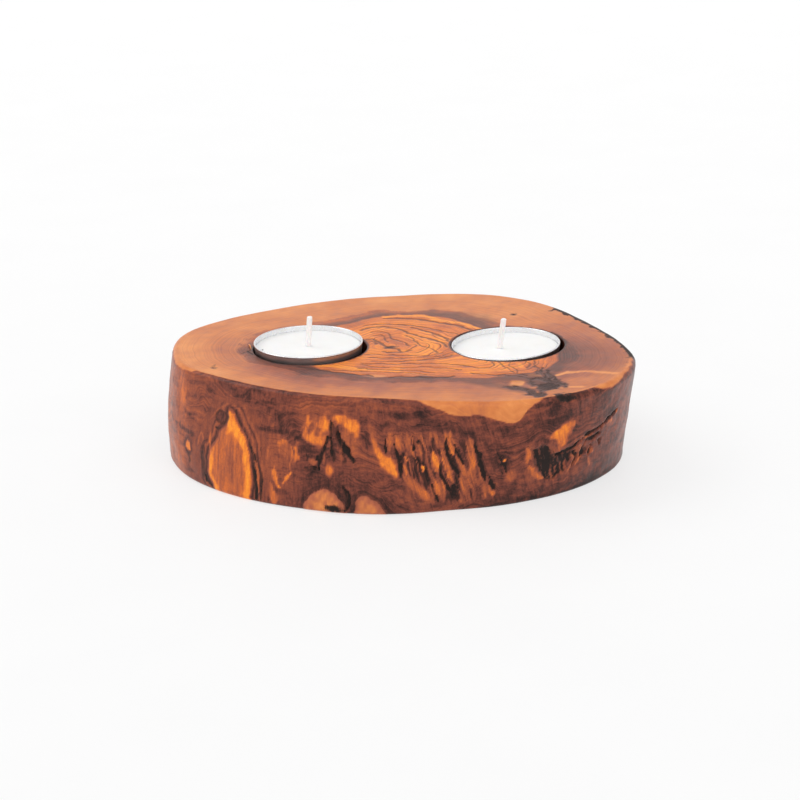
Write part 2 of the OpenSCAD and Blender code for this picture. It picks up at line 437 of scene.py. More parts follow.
def paint_top(points):
    """The sawn and oiled upper face."""
    paint = Paint(points, 0.73)
    x = points[:, 0] + wave_noise(points, 30, 11)
    y = points[:, 1] + wave_noise(points, 26, 12)
    fine_x = points[:, 0] + 0.35 * wave_noise(points, 7, 13)
    fine_y = points[:, 1] + 0.35 * wave_noise(points, 7, 14)
    from_pith = np.hypot(x - PITH[0], y - PITH[1])
    angle = bearing(x - PITH[0], y - PITH[1])
    heart = periodic(HEART_EDGE, angle)
    outside = from_pith - heart
    place_angle = bearing(points[:, 0], points[:, 1])
    edge = slab_radius(place_angle, np.full(len(points), SLAB_TOP)) - np.hypot(points[:, 0], points[:, 1])
    spread = np.clip(outside / np.maximum(outside + edge, 1), 0, 1)

    # Rings: uneven in the heart, close and even in the sapwood.
    lift = 0.16 * np.exp(-((points[:, 0] + 2) / 18) ** 2 - ((points[:, 1] - 16) / 14) ** 2)
    heart_ring = (from_pith / heart - lift) * 15 + 0.5 * wave_noise(points, 26, 15, 1)
    paint.ring = np.where(outside < 0, heart_ring, 15 + 18 * spread)
    paint.contour = np.where(outside < 0, 0.75, 0.14)

    # Heartwood, with its darker outer part.
    paint.tone += 0.10 * wave_noise(points, 16, 16)
    paint.blend("tone", smooth(-9, -2, outside) * 0.45, 0.5)
    # Sapwood.
    sap = smooth(0.12, 0.34, spread + 0.04 * wave_noise(points, 12, 17))
    paint.pale = sap
    inner_shade = periodic(INNER_SHADE, angle)
    shade = inner_shade + (periodic(OUTER_SHADE, angle) - inner_shade) * smooth(0.25, 0.95, spread)
    paint.blend("tone", smooth(-1, 1, outside), shade + 0.05 * wave_noise(points, 14, 20))
    # The stain: a sharp inner edge and a fading outer one.
    reach = periodic(STAIN_SPREAD, angle) * (1 + 0.25 * wave_noise(points, 22, 18))
    strength = 0.55 + 0.45 * periodic(STAIN_STRENGTH, angle)
    paint.stain = smooth(-0.9, 0.5, outside) * (1 - smooth(0.25, 1.0, outside / reach)) * strength
    paint.blend("pale", smooth(0.3, 0.9, paint.stain), 0.4)
    # The browner wood at the right, under the bark.
    right = smooth(0, 10, oval(x, y, (67, -16), (15, 26), -0.1))
    paint.blend("stain", right * 0.7, 0.45)
    brown = smooth(0, 8, oval(x, y, (-60, 0), (9, 22)))
    paint.blend("tone", brown * 0.5, 0.3)

    for place, size, field, value in TOP_AREAS:
        mask = smooth(-0.6, 1.0, oval(fine_x, fine_y, place, size))
        paint.blend(field, mask, value)
        if field == "pale":
            paint.blend("stain", mask, 0.0)
    for half, tone, line in AMBER_STREAKS:
        mask = 1 - smooth(half * 0.6, half * 1.25, distance(fine_x, fine_y, line))
        paint.blend_all(mask, tone=tone, stain=0.0, pale=0.0)
    for half, line in PALE_STREAKS:
        mask = 1 - smooth(half * 0.4, half * 1.5, distance(fine_x, fine_y, line))
        paint.blend_all(mask, tone=0.8, stain=0.0, pale=1.0)
    for width, line in DARK_LINES:
        paint.mark(width, distance(fine_x, fine_y, line))

    dead_knot(paint, fine_x, fine_y)
    torn_grain(paint, fine_x, fine_y)
    # The scribble at the pith.
    scribble = oval(fine_x, fine_y, (-2.8, -2), (2.6, 1.7), 0.6)
    paint.blend_all(smooth(-0.6, 0.8, scribble), stain=1.0, char=0.5)
    # Two small dark pin knots.
    for place, size in (((-63.4, -20.6), (0.7, 2.2)), ((42.4, 35.2), (1.3, 1.4))):
        paint.blend("char", smooth(-0.5, 0.4, oval(fine_x, fine_y, place, size)), 0.7)

    # Bark left along the back-right edge.
    jag = edge - 2.4 - 0.9 * wave_noise(points, 6, 19, 3)
    bark = (1 - smooth(0, 0.7, jag)) * bark_strip(place_angle)
    paint.blend("char", bark, 0.95)
    paint.relief -= 0.35 * bark
    return paint


# ---------------------------------------------------------------- figure of the bark side

MM_PER_DEGREE = 1.25
FIELDS = ("tone", "pale", "stain", "char", "line", "ring", "contour", "relief")


def on_side(points):
    """Places as (degrees, height) turned into millimetres along the side."""
    return [(degrees * MM_PER_DEGREE, height) for degrees, height in points]


class SidePaint(Paint):
    """Paint for the bark side, where places are (degrees from a figure's middle, height)."""

    def aim(self, angle, z, middle, hand=1, rise=0):
        """Measures places from a figure's middle; hand -1 mirrors it, rise lifts it."""
        self.u = hand * turn_from(middle, angle) * MM_PER_DEGREE
        self.z = z - rise
        self.shake = 0.22 * wave_noise(self.points, 2.6, 81, 2)

    def inside(self, outline):
        """Distance inside a closed outline, with a slightly shaken edge."""
        return blob(self.u, self.z, on_side(outline)) + self.shake

    def spot(self, place, size, slant=0.0):
        """Distance inside an oval; its size is in millimetres."""
        return oval(self.u, self.z, on_side([place])[0], size, slant) + self.shake

    def stroke(self, half, points):
        """Mask of a brush stroke that thins towards its ends."""
        gap, along = distance(self.u, self.z, on_side(points), True)
        width = half * (0.4 + 0.6 * np.sin(np.pi * along))
        return 1 - smooth(0.45, 1.3, (gap + self.shake) / width)

    def leaning(self, slope, stretch):
        """Places for a noise whose fibres lean from upright and are drawn out along the trunk."""
        return np.c_[self.u + slope * (self.z - 15), stretch * self.z, 0 * self.z]

    def amber(self, mask, tone):
        """Clean wood of this tone, over whatever was there."""
        self.blend("tone", mask, tone)
        self.char *= 1 - mask
        self.contour *= 1 - mask

    def ambers(self, rows):
        """Strokes of clean wood: half width, tone, points."""
        for half, tone, line in rows:
            self.amber(self.stroke(half, line), tone)

    def cracks(self, depth, rows):
        """Black strokes sunk into the wood: half width, black, points."""
        for half, black, line in rows:
            mask = self.stroke(half, line)
            self.burn(mask, black)
            self.relief -= depth * mask


def eye(paint):
    """The cut across a branch: a teardrop with an amber border and dark outlines."""
    paint.shake = 0.35 * paint.shake
    inside = paint.inside([
        (-1.8, 29.3), (0.6, 27.6), (2.5, 25.4), (4.5, 22), (6.1, 18), (7.3, 13.5), (8, 10), (8, 6),
        (7.2, 2), (6.4, -2), (-4, -2), (-4.8, 2), (-6.9, 5), (-7.2, 9), (-7, 13.5), (-5.4, 16.8),
        (-4.2, 19.5), (-3.6, 22.4), (-1.9, 24.4)
    ])
    body = smooth(-0.3, 0.5, inside)
    near = smooth(-8.5, -5, inside) * smooth(0, 4, 34 - paint.z)
    paint.blend("ring", near, inside / 1.5)
    paint.blend("contour", near * (1 - body), 0.7)
    paint.blend("tone", near * (1 - body), 0.26)
    paint.blend("tone", body, 0.5)
    right = body * (1 - smooth(2.2, 3.3, inside)) * smooth(-3, -0.5, paint.u)
    left = body * (1 - smooth(1.2, 2.2, inside)) * (1 - smooth(-3, -1, paint.u))
    left *= 1 - smooth(12, 15, paint.z)
    cap = body * smooth(21.5, 25.5, paint.z + 0.9 * paint.u)
    paint.amber(np.clip(right + left + cap, 0, 1), 0.87)
    paint.blend("tone", body * smooth(0, 4, paint.spot((0.4, 12.5), (4, 7))) * 0.8, 0.34)
    paint.blend("contour", body, 0.05)
    # Thin outlines that follow the border.
    rim = np.where(paint.z < 31.5, inside, -9)
    paint.amber((1 - smooth(0.2, 0.8, np.abs(rim + 2.5))) * 0.6, 0.46)
    paint.amber((1 - smooth(0.2, 0.7, np.abs(rim + 4.6))) * 0.4 * smooth(0, 2, paint.u), 0.5)
    paint.blend("tone", (1 - smooth(0.3, 1.0, np.abs(rim + 1.3))) * 0.8, 0.08)
    paint.blend("tone", (1 - smooth(0.2, 0.8, np.abs(rim + 3.6))) * 0.7, 0.1)
    paint.cracks(0, [
        (1.1, 0.64, [(-9.2, 15), (-9.6, 11), (-9.4, 7), (-8, 3.5), (-5.6, 1.6)]),
        (0.9, 0.66, [(6.6, 20), (8.6, 16), (9.2, 11), (9.8, 5), (9.4, 1)]),
        (0.8, 0.62, [(9.6, 15), (11.2, 10), (11.2, 5), (11, 1)]),
    ])
    paint.amber(paint.stroke(0.6, [(8.6, 15), (10.2, 10), (10.4, 4)]) * 0.7, 0.5)
    knot = paint.spot((-3.7, 26.4), (2.2, 1.7))
    paint.blend("tone", smooth(-0.4, 0.3, knot), 0.12)
    paint.mark(0.6, np.abs(knot + 0.1))
    paint.burn(smooth(-0.4, 0.4, paint.spot((-4.9, 22.6), (1.2, 0.6))), 0.6)
    paint.amber(smooth(-0.3, 0.4, paint.spot((-5.8, 27.8), (0.5, 2.6), 0.9)) * 0.6, 0.5)
    for line in (
        [(-11.6, 14), (-11.2, 17.6), (-10.6, 19.4), (-9.8, 17)],
        [(-7.2, 21), (-7.6, 18), (-7, 15)],
    ):
        paint.amber(paint.stroke(0.5, line) * 0.8, 0.55)
    paint.relief += 0.2 * body


def pin_knot(paint):
    """A small round knot with a dark ring and a tail."""
    core = paint.spot((0, 12.8), (1.3, 2.0))
    paint.blend("tone", smooth(-1.6, -0.4, core), 0.1)
    paint.amber(smooth(-0.3, 0.4, core), 0.8)
    paint.burn(paint.stroke(0.8, [(0.1, 10), (0.3, 8), (0.3, 5)]), 0.55)
    paint.blend("tone", paint.stroke(1.0, [(-7, 19), (-3, 18.6), (0, 17.6), (3, 16.8)]) * 0.8, 0.08)
    paint.blend("tone", paint.stroke(0.8, [(-4, 26), (-1, 24.6), (2, 24)]) * 0.8, 0.1)
    mottle = wave_noise(paint.points, 4, 49, 2)
    glow = smooth(-2.2, 1.6, paint.spot((-4.2, 30), (2.4, 6.4), -0.15) + 0.8 * mottle)
    paint.amber(glow * 0.8, 0.56)
    paint.amber(paint.stroke(1.0, [(-4.6, 34), (-3.6, 29), (-3.2, 25)]) * 0.7, 0.66)
    paint.amber(smooth(-0.5, 3, paint.spot((-5.5, 8), (6, 7))) * 0.5, 0.5)


def blotches(paint):
    """Mottled amber patches with splits below them, and the amber stroke to their right."""
    mottle = wave_noise(paint.points, 3.4, 31, 2)
    left = paint.inside([
        (-9, 32.4), (-7.2, 31.6), (-4.6, 32.2), (-1.4, 32), (0, 29), (-1.2, 26.4), (-2, 22.8),
        (-4.4, 21.6), (-8, 23), (-9.6, 26), (-9.4, 29)
    ])
    mask = smooth(-0.5, 1.2, left)
    paint.amber(mask, 0.48)
    paint.tone += mask * 0.12 * mottle
    right = paint.inside([
        (-0.4, 33.2), (3, 33), (6, 31.8), (7.8, 29.6), (7.6, 26.4), (6.2, 27.4), (4, 28.4), (1.8, 30),
        (0.2, 30.6)
    ])
    paint.amber(smooth(-0.9, 0.8, right), 0.74 + 0.1 * mottle)
    brown = paint.inside([(1.6, 30), (4, 28.6), (7.4, 26.4), (8, 22), (6.4, 18), (2.6, 20), (1.4, 26)])
    paint.blend("tone", smooth(-0.5, 1.5, brown) * 0.8, 0.4)
    for place, size in (
        ((-8.4, 31.4), (1.1, 1.2)),
        ((-3.1, 31.2), (1.1, 1.7)),
        ((-9.2, 26.6), (0.8, 1.9)),
        ((-6, 24.4), (3, 1.6)),
        ((-4, 27.4), (1.2, 1.4)),
        ((6, 30), (2, 1.2)),
        ((-1.3, 14.9), (0.8, 2.2)),
        ((-16.2, 22.6), (1.6, 0.9)),
        ((-11.8, 19.4), (0.8, 2.8)),
        ((1.4, 32), (2.2, 0.8)),
        ((7, 27.6), (0.8, 1.6)),
    ):
        paint.amber(smooth(-0.9, 0.7, paint.spot(place, size) + 0.3 * mottle) * 0.75, 0.78)
    paint.blend("tone", smooth(-0.5, 1.2, paint.spot((-15.6, 20), (2.6, 3.6))) * 0.75, 0.46)
    for place, size, slant in (
        ((-6.8, 29.4), (0.7, 1.8), 0.3),
        ((-5.2, 29.8), (0.4, 2.2), 0),
        ((-1.6, 29), (0.4, 2.6), 0),
    ):
        paint.blend("tone", smooth(-0.3, 0.3, paint.spot(place, size, slant)) * 0.8, 0.22)
    paint.ambers([
        (1.0, 0.74, [(-18.8, 13.4), (-18.3, 10), (-17, 6.8)]),
        (0.6, 0.7, [(-15.6, 8.2), (-14.6, 10.6), (-12.8, 12.8)]),
        (0.8, 0.46, [(-19.5, 8), (-19.6, 5), (-19, 1)]),
        (1.6, 0.5, [(-18.4, 5), (-18.2, 1)]),
        (0.6, 0.5, [(-13.8, 22), (-13.4, 18), (-13.6, 14)]),
        (0.5, 0.45, [(-21, 19), (-21.4, 15), (-21, 11)]),
    ])
    cleft = smooth(0, 3, paint.inside([
        (-2, 31), (0, 30), (2, 27), (6, 20), (6.4, 17), (2, 16), (-5.4, 14.4), (-6, 17), (-3.6, 22)
    ]))
    paint.blend("tone", cleft * 0.8, 0.16)
    paint.amber(cleft * smooth(0.3, 1.0, wave_noise(paint.points * (1, 1, 0.3), 2.2, 32, 2)) * 0.8, 0.4)
    paint.cracks(0.45, [
        (1.2, 0.66, [(-1.9, 26), (-3, 22), (-4.6, 17.6), (-4.6, 14.6)]),
        (1.0, 0.64, [(-1, 25), (-0.4, 21), (0.4, 17.4)]),
        (1.1, 0.5, [(-1.8, 31.4), (-1.2, 28), (-1.4, 24.6)]),
        (0.7, 0.55, [(0.4, 29), (0.8, 26), (1.4, 24.4)]),
        (1.8, 0.68, [(0.9, 26.4), (2.6, 23.4), (4.4, 21), (6.2, 18.2)]),
        (1.5, 0.8, [(2.8, 22.8), (4.2, 21.4), (5, 20)]),
        (0.8, 0.62, [(-8.4, 19), (-6.8, 16.2), (-4.8, 15.4)]),
        (0.7, 0.5, [(-8.6, 14.6), (-6, 15), (-4.6, 14.6)]),
        (0.6, 0.5, [(2.4, 21), (3.4, 18.4), (3, 17)]),
    ])
    paint.amber(smooth(-0.3, 0.5, paint.spot((-6.2, 17.2), (1.4, 0.8))), 0.5)
    shade = smooth(-1, 2, paint.spot((10.2, 25), (1.6, 3.4), 0.1))
    paint.blend("tone", shade, 0.06)
    paint.blend("tone", paint.stroke(0.9, [(-25, 25.8), (-21, 25.4), (-18, 25.6), (-14, 26.4)]) * 0.8, 0.06)
    paint.blend("tone", paint.stroke(0.8, [(-20, 31), (-17, 31.6), (-13, 32.4)]) * 0.7, 0.08)
    stroke = paint.inside([
        (11, 30.4), (12, 28.4), (13.3, 25), (15, 22.4), (17.6, 20), (19.3, 16.8), (19.4, 12.4),
        (16.6, 14.4), (14.4, 17), (12.7, 21), (11.6, 25)
    ])
    paint.amber(smooth(-0.6, 1.2, stroke), 0.62 + 0.24 * smooth(24, 18, paint.z))
    paint.blend("tone", smooth(-0.3, 0.5, paint.spot((11.8, 28.6), (0.9, 2.4), -0.3)) * 0.6, 0.4)


def knobs(paint):
    """Two rounded stubs at the foot, with painted shade round and at their edges, and a split between them.
    """
    paint.shake = 0.5 * paint.shake
    mottle = wave_noise(paint.points, 2.8, 39, 2)
    left = [
        (-9, -1), (-8.4, 2.4), (-6.6, 5.2), (-4, 7.3), (-1.8, 8.3), (0.6, 7.4), (2.6, 5.4), (4, 2.8),
        (4.4, -1)
    ]
    right = [(7.2, -1), (7.3, 3.4), (8.2, 5.8), (10, 6.8), (12.6, 5.6), (15, 2.8), (17, -1)]
    for outline, tone in ((left, 0.4), (right, 0.36)):
        inside = paint.inside(outline)
        body = smooth(-0.4, 0.6, inside)
        # The ring round each stub carries grain lines and painted shade; the stub is painted darker at its
        # edge and lighter towards its middle, as painted shading of its round.
        grain_and_shade_ring = smooth(-4.5, -0.5, inside) * (1 - body)
        paint.blend("tone", grain_and_shade_ring * 0.85, 0.08)
        paint.blend("ring", grain_and_shade_ring, inside / 1.3)
        paint.blend("contour", grain_and_shade_ring, 0.5)
        paint.amber(body, tone - 0.16 + 0.2 * smooth(0, 3, inside) + 0.05 * mottle)
        paint.blend("pale", smooth(-0.8, 0.8, inside), 1.0)
        paint.relief += 0.7 * smooth(-1.5, 2.5, inside)
    for place, size in (
        ((-4.6, 4.4), (1.6, 0.9)),
        ((-3, 5.6), (0.7, 1.0)),
        ((-5.8, 2), (1.2, 1.4)),
        ((-1.2, 3.4), (0.9, 1.2)),
    ):
        paint.blend("tone", smooth(-0.5, 0.6, paint.spot(place, size)) * 0.8, 0.22)
    paint.burn(smooth(-0.7, 0.7, paint.spot((1, 1.6), (3.4, 1.5))), 0.82)
    paint.cracks(0.6, [(1.2, 0.82, [(3.8, 9.4), (5, 6.8), (5.1, 4.2), (4.2, 1)])])


def slanted_streaks(paint):
    """A field where amber and dark fibres alternate, leaning to the right."""
    fibres = wave_noise(paint.leaning(0.31, 0.11), 2.6, 33, 3)
    region = smooth(0, 4, paint.inside([
        (-16, 29), (-8, 29.5), (2, 30), (9, 27), (12, 22), (14, 14), (15.5, 5), (8, 2), (0, 2.6),
        (-8, 6), (-13, 13), (-16.5, 22)
    ]))
    hairs = wave_noise(paint.leaning(0.31, 0.14), 1.5, 40, 2)
    paint.blend("tone", region * 0.8, 0.32)
    paint.blend("tone", region * smooth(0.1, 0.7, fibres) * 0.8, 0.5)
    paint.blend("tone", region * smooth(0.1, 0.7, -fibres) * 0.8, 0.12)
    paint.tone += region * 0.09 * hairs
    paint.burn(region * smooth(0.4, 1.1, -fibres - 0.3 * hairs), 0.5)
    brown = paint.inside([
        (-11, 14), (-7.5, 13), (-5, 10), (-2.4, 6), (-1.4, 4), (-4.4, 4.4), (-7.6, 8), (-10, 10)
    ])
    paint.amber(smooth(-0.6, 1.2, brown), 0.46)
    foot = paint.inside([(17.8, 11), (19.5, 13), (21.5, 12.8), (21.8, 10), (19, 8)])
    paint.amber(smooth(-0.5, 1.5, foot) * 0.8, 0.46)
    for half, tone, line in (
        (1.0, 0.62, [(-15.4, 28), (-15, 25.6), (-14.6, 23)]),
        (0.8, 0.6, [(-11.4, 28), (-11.8, 25), (-11, 22)]),
        (0.8, 0.6, [(-9.4, 28), (-9, 25.4), (-9.6, 23)]),
        (0.7, 0.7, [(-10, 20), (-10.2, 17), (-10, 13.6)]),
        (0.6, 0.66, [(-6.2, 22.4), (-5.8, 20.4), (-5.4, 18.6)]),
        (0.7, 0.66, [(-2.8, 29), (-2.4, 27)]),
        (0.6, 0.6, [(2.8, 29), (3.2, 27)]),
        (1.4, 0.88, [(-1.6, 22), (-1.2, 18.6), (-0.6, 15)]),
        (0.9, 0.8, [(-1.4, 12), (-0.8, 9), (-0.8, 6)]),
        (1.2, 0.88, [(0.9, 22.4), (2, 17.6), (2.8, 13)]),
        (0.9, 0.74, [(3.2, 25), (3.9, 21)]),
        (0.8, 0.7, [(0.2, 26), (1.4, 23.4)]),
        (1.1, 0.7, [(5, 20), (6.6, 15.4), (8.4, 12)]),
        (1.0, 0.74, [(8, 26), (9.8, 21.4), (9.4, 16.4), (8, 13)]),
        (1.0, 0.62, [(9.8, 12), (11.4, 8.6)]),
        (1.1, 0.7, [(-5, 8), (-3.4, 5.4)]),
        (0.5, 0.9, [(5.9, 5.6), (6.4, 3.2)]),
        (0.6, 0.8, [(12.8, 5.6), (13, 3.6)]),
        (0.7, 0.7, [(14, 8.6), (14.6, 6), (15.2, 4.6)]),
    ):
        mask = paint.stroke(half, line)
        paint.amber(mask * (0.8 - 0.35 * hairs), tone - 0.14)
    left_hollow = [
        (-9.6, 19.8), (-6, 20.2), (-3.4, 18), (-2.8, 14), (-2.2, 11), (-3.6, 9.2), (-5.2, 12),
        (-6.6, 15.5), (-8.2, 18.4)
    ]
    low_hollow = [(3.2, 11.6), (5, 10.6), (6.4, 7), (6.8, 4.4), (3.4, 3.6), (1.8, 6), (2.6, 9)]
    right_hollow = [
        (15.6, 22.4), (18.4, 19.4), (19.4, 16), (19, 12.8), (17.4, 11.6), (16.4, 15), (15.4, 18)
    ]
    for outline, black in ((left_hollow, 0.66), (low_hollow, 0.7), (right_hollow, 0.74)):
        mask = smooth(-0.5, 1.2, paint.inside(outline)) * smooth(-1.3, -0.4, -hairs)
        paint.blend("tone", mask, 0.14)
        paint.burn(mask, black)
        paint.relief -= 0.35 * mask
    paint.cracks(0.35, [
        (1.0, 0.78, [(-13.4, 24.4), (-11.9, 19), (-11.4, 13.6)]),
        (0.8, 0.7, [(-2.4, 10), (-1.4, 6), (-0.4, 4)]),
        (0.9, 0.76, [(-0.2, 18), (0.9, 12.6), (2.2, 9), (3, 7.6)]),
        (1.1, 0.78, [(1.6, 27), (2.3, 24), (3, 19), (4.6, 15.4), (5.6, 12.4)]),
        (0.6, 0.74, [(4.6, 24), (5.6, 20), (7, 16.6)]),
        (1.2, 0.8, [(9.8, 24.6), (10.8, 20.6), (11.5, 17.4), (12.6, 14), (13, 10.6)]),
        (0.8, 0.76, [(13.8, 12.4), (15, 9), (15.6, 6.6)]),
        (0.6, 0.72, [(-7.6, 27), (-7.2, 24), (-7.6, 21.6)]),
        (0.6, 0.72, [(-16.4, 26), (-15.8, 22)]),
    ])
    paint.amber(smooth(-0.2, 0.4, paint.spot((-4.5, 16.4), (0.7, 1.3))), 0.92)
    paint.amber(smooth(-0.2, 0.3, paint.spot((18, 17.4), (0.5, 0.9))), 0.9)
    paint.amber(smooth(-0.2, 0.5, paint.spot((15.2, 5.6), (0.9, 0.9))), 0.62)
    paint.burn(smooth(-0.4, 0.4, paint.spot((-6, 25), (0.8, 0.9))), 0.7)


def burnt_patch(paint):
    """A charred hollow crossed by pale fibres, with a fissure running up to the right."""
    paint.blend("tone", smooth(0, 4, paint.inside([
        (-10, 23), (0, 24), (10, 22), (19, 20), (17, 12), (6, 6), (-4, 6)
    ])) * 0.7, 0.2)
    hollow = smooth(-0.5, 1.0, paint.inside([
        (-8.6, 21.8), (-6.6, 20.8), (-3.6, 21.2), (-1.4, 20), (0, 17.6), (3, 17), (5.4, 16.6),
        (4.6, 12), (2.8, 8.6), (0.8, 7.2), (-1.6, 8), (-3.6, 11), (-5.6, 14), (-7.2, 18)
    ]))
    hairs = wave_noise(paint.leaning(0.3, 0.12), 2.0, 35, 2)
    paint.blend("tone", hollow, 0.24 + 0.16 * smooth(0.1, 0.8, hairs))
    paint.burn(hollow, 0.8 - 0.2 * hairs)
    paint.relief -= 0.5 * hollow
    for start, end in ((-3.2, -1.4), (-1.6, -0.4), (-0.4, 0.8), (0.8, 2), (2.4, 3.4), (3.8, 4.4)):
        fibre = paint.stroke(0.34, [(start, 12 + 0.6 * start), (end, 7.2 + 0.3 * end)])
        paint.amber(fibre * 0.7, 0.36)
    around = smooth(-3, 0, paint.inside([
        (-9, 22), (0, 21), (8, 21), (12, 17), (8, 8), (0, 6.4), (-5, 9)
    ])) * (1 - hollow)
    paint.tone += 0.1 * around * smooth(-0.4, 0.8, hairs)
    paint.ambers([
        (1.0, 0.56, [(-9, 21.6), (-8, 18.4), (-7.6, 15.6)]),
        (1.1, 0.56, [(-7.2, 14), (-4.4, 10), (-1.6, 8)]),
        (0.9, 0.5, [(5.6, 16), (6.4, 12.6), (5, 9)]),
        (0.8, 0.56, [(7.2, 17.6), (8.4, 14.6), (7.6, 11)]),
        (0.7, 0.55, [(10.4, 17), (12, 15), (13.2, 14)]),
        (1.0, 0.6, [(8, 20.8), (9.6, 21.4)]),
        (0.7, 0.5, [(12, 12), (13, 9)]),
        (0.6, 0.62, [(16, 23.6), (17.6, 23.2), (19.4, 22.8)]),
    ])
    flame = smooth(-0.4, 0.8, paint.inside([
        (-3, 24.6), (-1.5, 27), (1.4, 29.2), (3.6, 28.6), (3.8, 26.6), (3, 24.4), (2.6, 22), (1.5, 19),
        (0.4, 17.8), (0, 20.4), (-1, 22.6), (-2.6, 23.4)
    ]))
    paint.amber(flame, 0.66 + 0.08 * hairs)
    paint.amber(smooth(-0.6, 1.2, paint.spot((0.6, 25.6), (2.6, 2.2), 0.4)) * 0.9, 0.82)
    paint.cracks(0.7, [
        (1.0, 0.95, [(0.4, 16.8), (3, 17.4), (5.4, 18.4), (6.8, 20.2)]),
        (0.8, 0.74, [(6.4, 19.8), (8.6, 21.4), (12, 22.6), (15, 24.2)]),
        (0.9, 0.8, [(14, 23.8), (17.4, 25.4), (19.6, 26.2)]),
        (1.6, 0.8, [(8.2, 17), (8.8, 15), (8.4, 13.6)]),
        (0.8, 0.76, [(5.6, 16.6), (6.6, 13.6), (6.2, 11)]),
        (1.0, 0.74, [(8.6, 19), (11, 19.8), (13.6, 20.8)]),
        (0.7, 0.74, [(11, 17.4), (11.6, 15), (11.2, 13)]),
        (0.5, 0.72, [(14, 18.6), (14.8, 16.4)]),
    ])
    paint.amber(smooth(-0.3, 0.4, paint.spot((19.8, 25.6), (0.9, 0.7))), 0.6)


# Soft darker and lighter areas of the ground, with painted shade along the foot at the front right (the
# entry at 314 degrees, height 0): angle, height, half size, tone.
SIDE_AREAS_AND_FOOT_SHADE = [
    (214, 36, (20, 7), 0.17), (190, 20, (20, 26), 0.42), (258, 37, (26, 4), 0.3),
    (232, 14, (7, 12), 0.3), (262, 12, (9, 4), 0.12), (292, 27, (16, 4), 0.12),
    (308, 32, (10, 8), 0.14), (301, 23, (9, 8), 0.12), (274, 8, (8, 5), 0.16),
    # the entry at 314 degrees, height 0, is painted shade along the foot
    (332, 16, (14, 10), 0.26), (314, 0, (34, 5), 0.1), (242, 33.5, (13, 5), 0.3),
    (345, 22, (14, 20), 0.26), (268, 34, (6, 1.4), 0.08), (277, 35, (4, 1.6), 0.06),
    (244, 12, (12, 3), 0.14), (262, 26, (4, 6), 0.2), (40, 20, (22, 12), 0.12), (78, 28, (18, 8), 0.3),
    (128, 14, (12, 12), 0.28), (160, 22, (14, 16), 0.3)
]


def plain_bark(paint, angle, z):
    """The ground that the figures stand on: red-brown wood in wavy layers."""
    points = paint.points
    layers = z + 2.6 * wave_noise(points * (1, 1, 0.6), 42, 21) + 0.7 * wave_noise(points, 11, 22)
    paint.ring = layers / 3.2
    paint.contour = 0.3 + 0.2 * wave_noise(points, 25, 23)
    # Tones of the listed areas, painted shade at the foot among them.
    for middle, height, size, tone in SIDE_AREAS_AND_FOOT_SHADE:
        u = turn_from(middle, angle) * MM_PER_DEGREE
        paint.blend("tone", smooth(1.5, 0.2, np.hypot(u / size[0], (z - height) / size[1])), tone)
    paint.tone += 0.035 * wave_noise(points, 30, 24) + 0.03 * wave_noise(points, 8, 25)
    flecks = wave_noise(points * (1, 1, 3.2), 11, 26)
    paint.blend("tone", smooth(0.5, 1.1, flecks) * 0.4, 0.33)
    paint.blend("tone", smooth(0.5, 1.1, -flecks) * 0.45, 0.08)
    paint.relief += 0.16 * wave_noise(points, 40, 27, 2) + 0.05 * wave_noise(points, 9, 28)


# Lower edge of the sapwood that wraps over the upper rim: angle, height.
SAPWOOD_LIP = [
    (178, 38.2), (186, 38.3), (194, 38.0), (198.5, 38.4), (200, 39.2), (262, 39.2), (275, 39.1),
    (278.5, 37.8), (281, 36.8), (283.5, 35.5), (285.5, 34.5), (289.5, 34.3), (290.8, 35), (293, 34.3),
    (296, 33), (299, 31.6), (300.5, 31.2), (301.8, 32), (302.8, 34), (303.6, 36), (305, 37.5),
    (307.5, 38.8), (309, 39.4), (321, 39.4), (324, 38), (327, 37.3), (331, 37.9), (335, 38.5),
    (340, 38.8)
]

# Each figure, the angle of its middle, its hand and its rise. The far side, out of the
# photograph's view, has mirrored figures of the same kinds, further apart.
FIGURES = [
    (slanted_streaks, 281.5, 1, 0), (burnt_patch, 313.5, 1, 0), (blotches, 249.5, 1, 0),
    (knobs, 249.0, 1, 0), (eye, 215.8, 1, 0), (pin_knot, 200.0, 1, 0), (slanted_streaks, 141.0, -1, 1),
    (eye, 62.0, -1, -3), (pin_knot, 92.0, 1, 6), (blotches, 106.0, -1, -3), (knobs, 34.0, -1, 0),
    (blotches, 12.0, -1, -1)
]
FIGURE_REACH = 30   # degrees to each side of a figure's middle


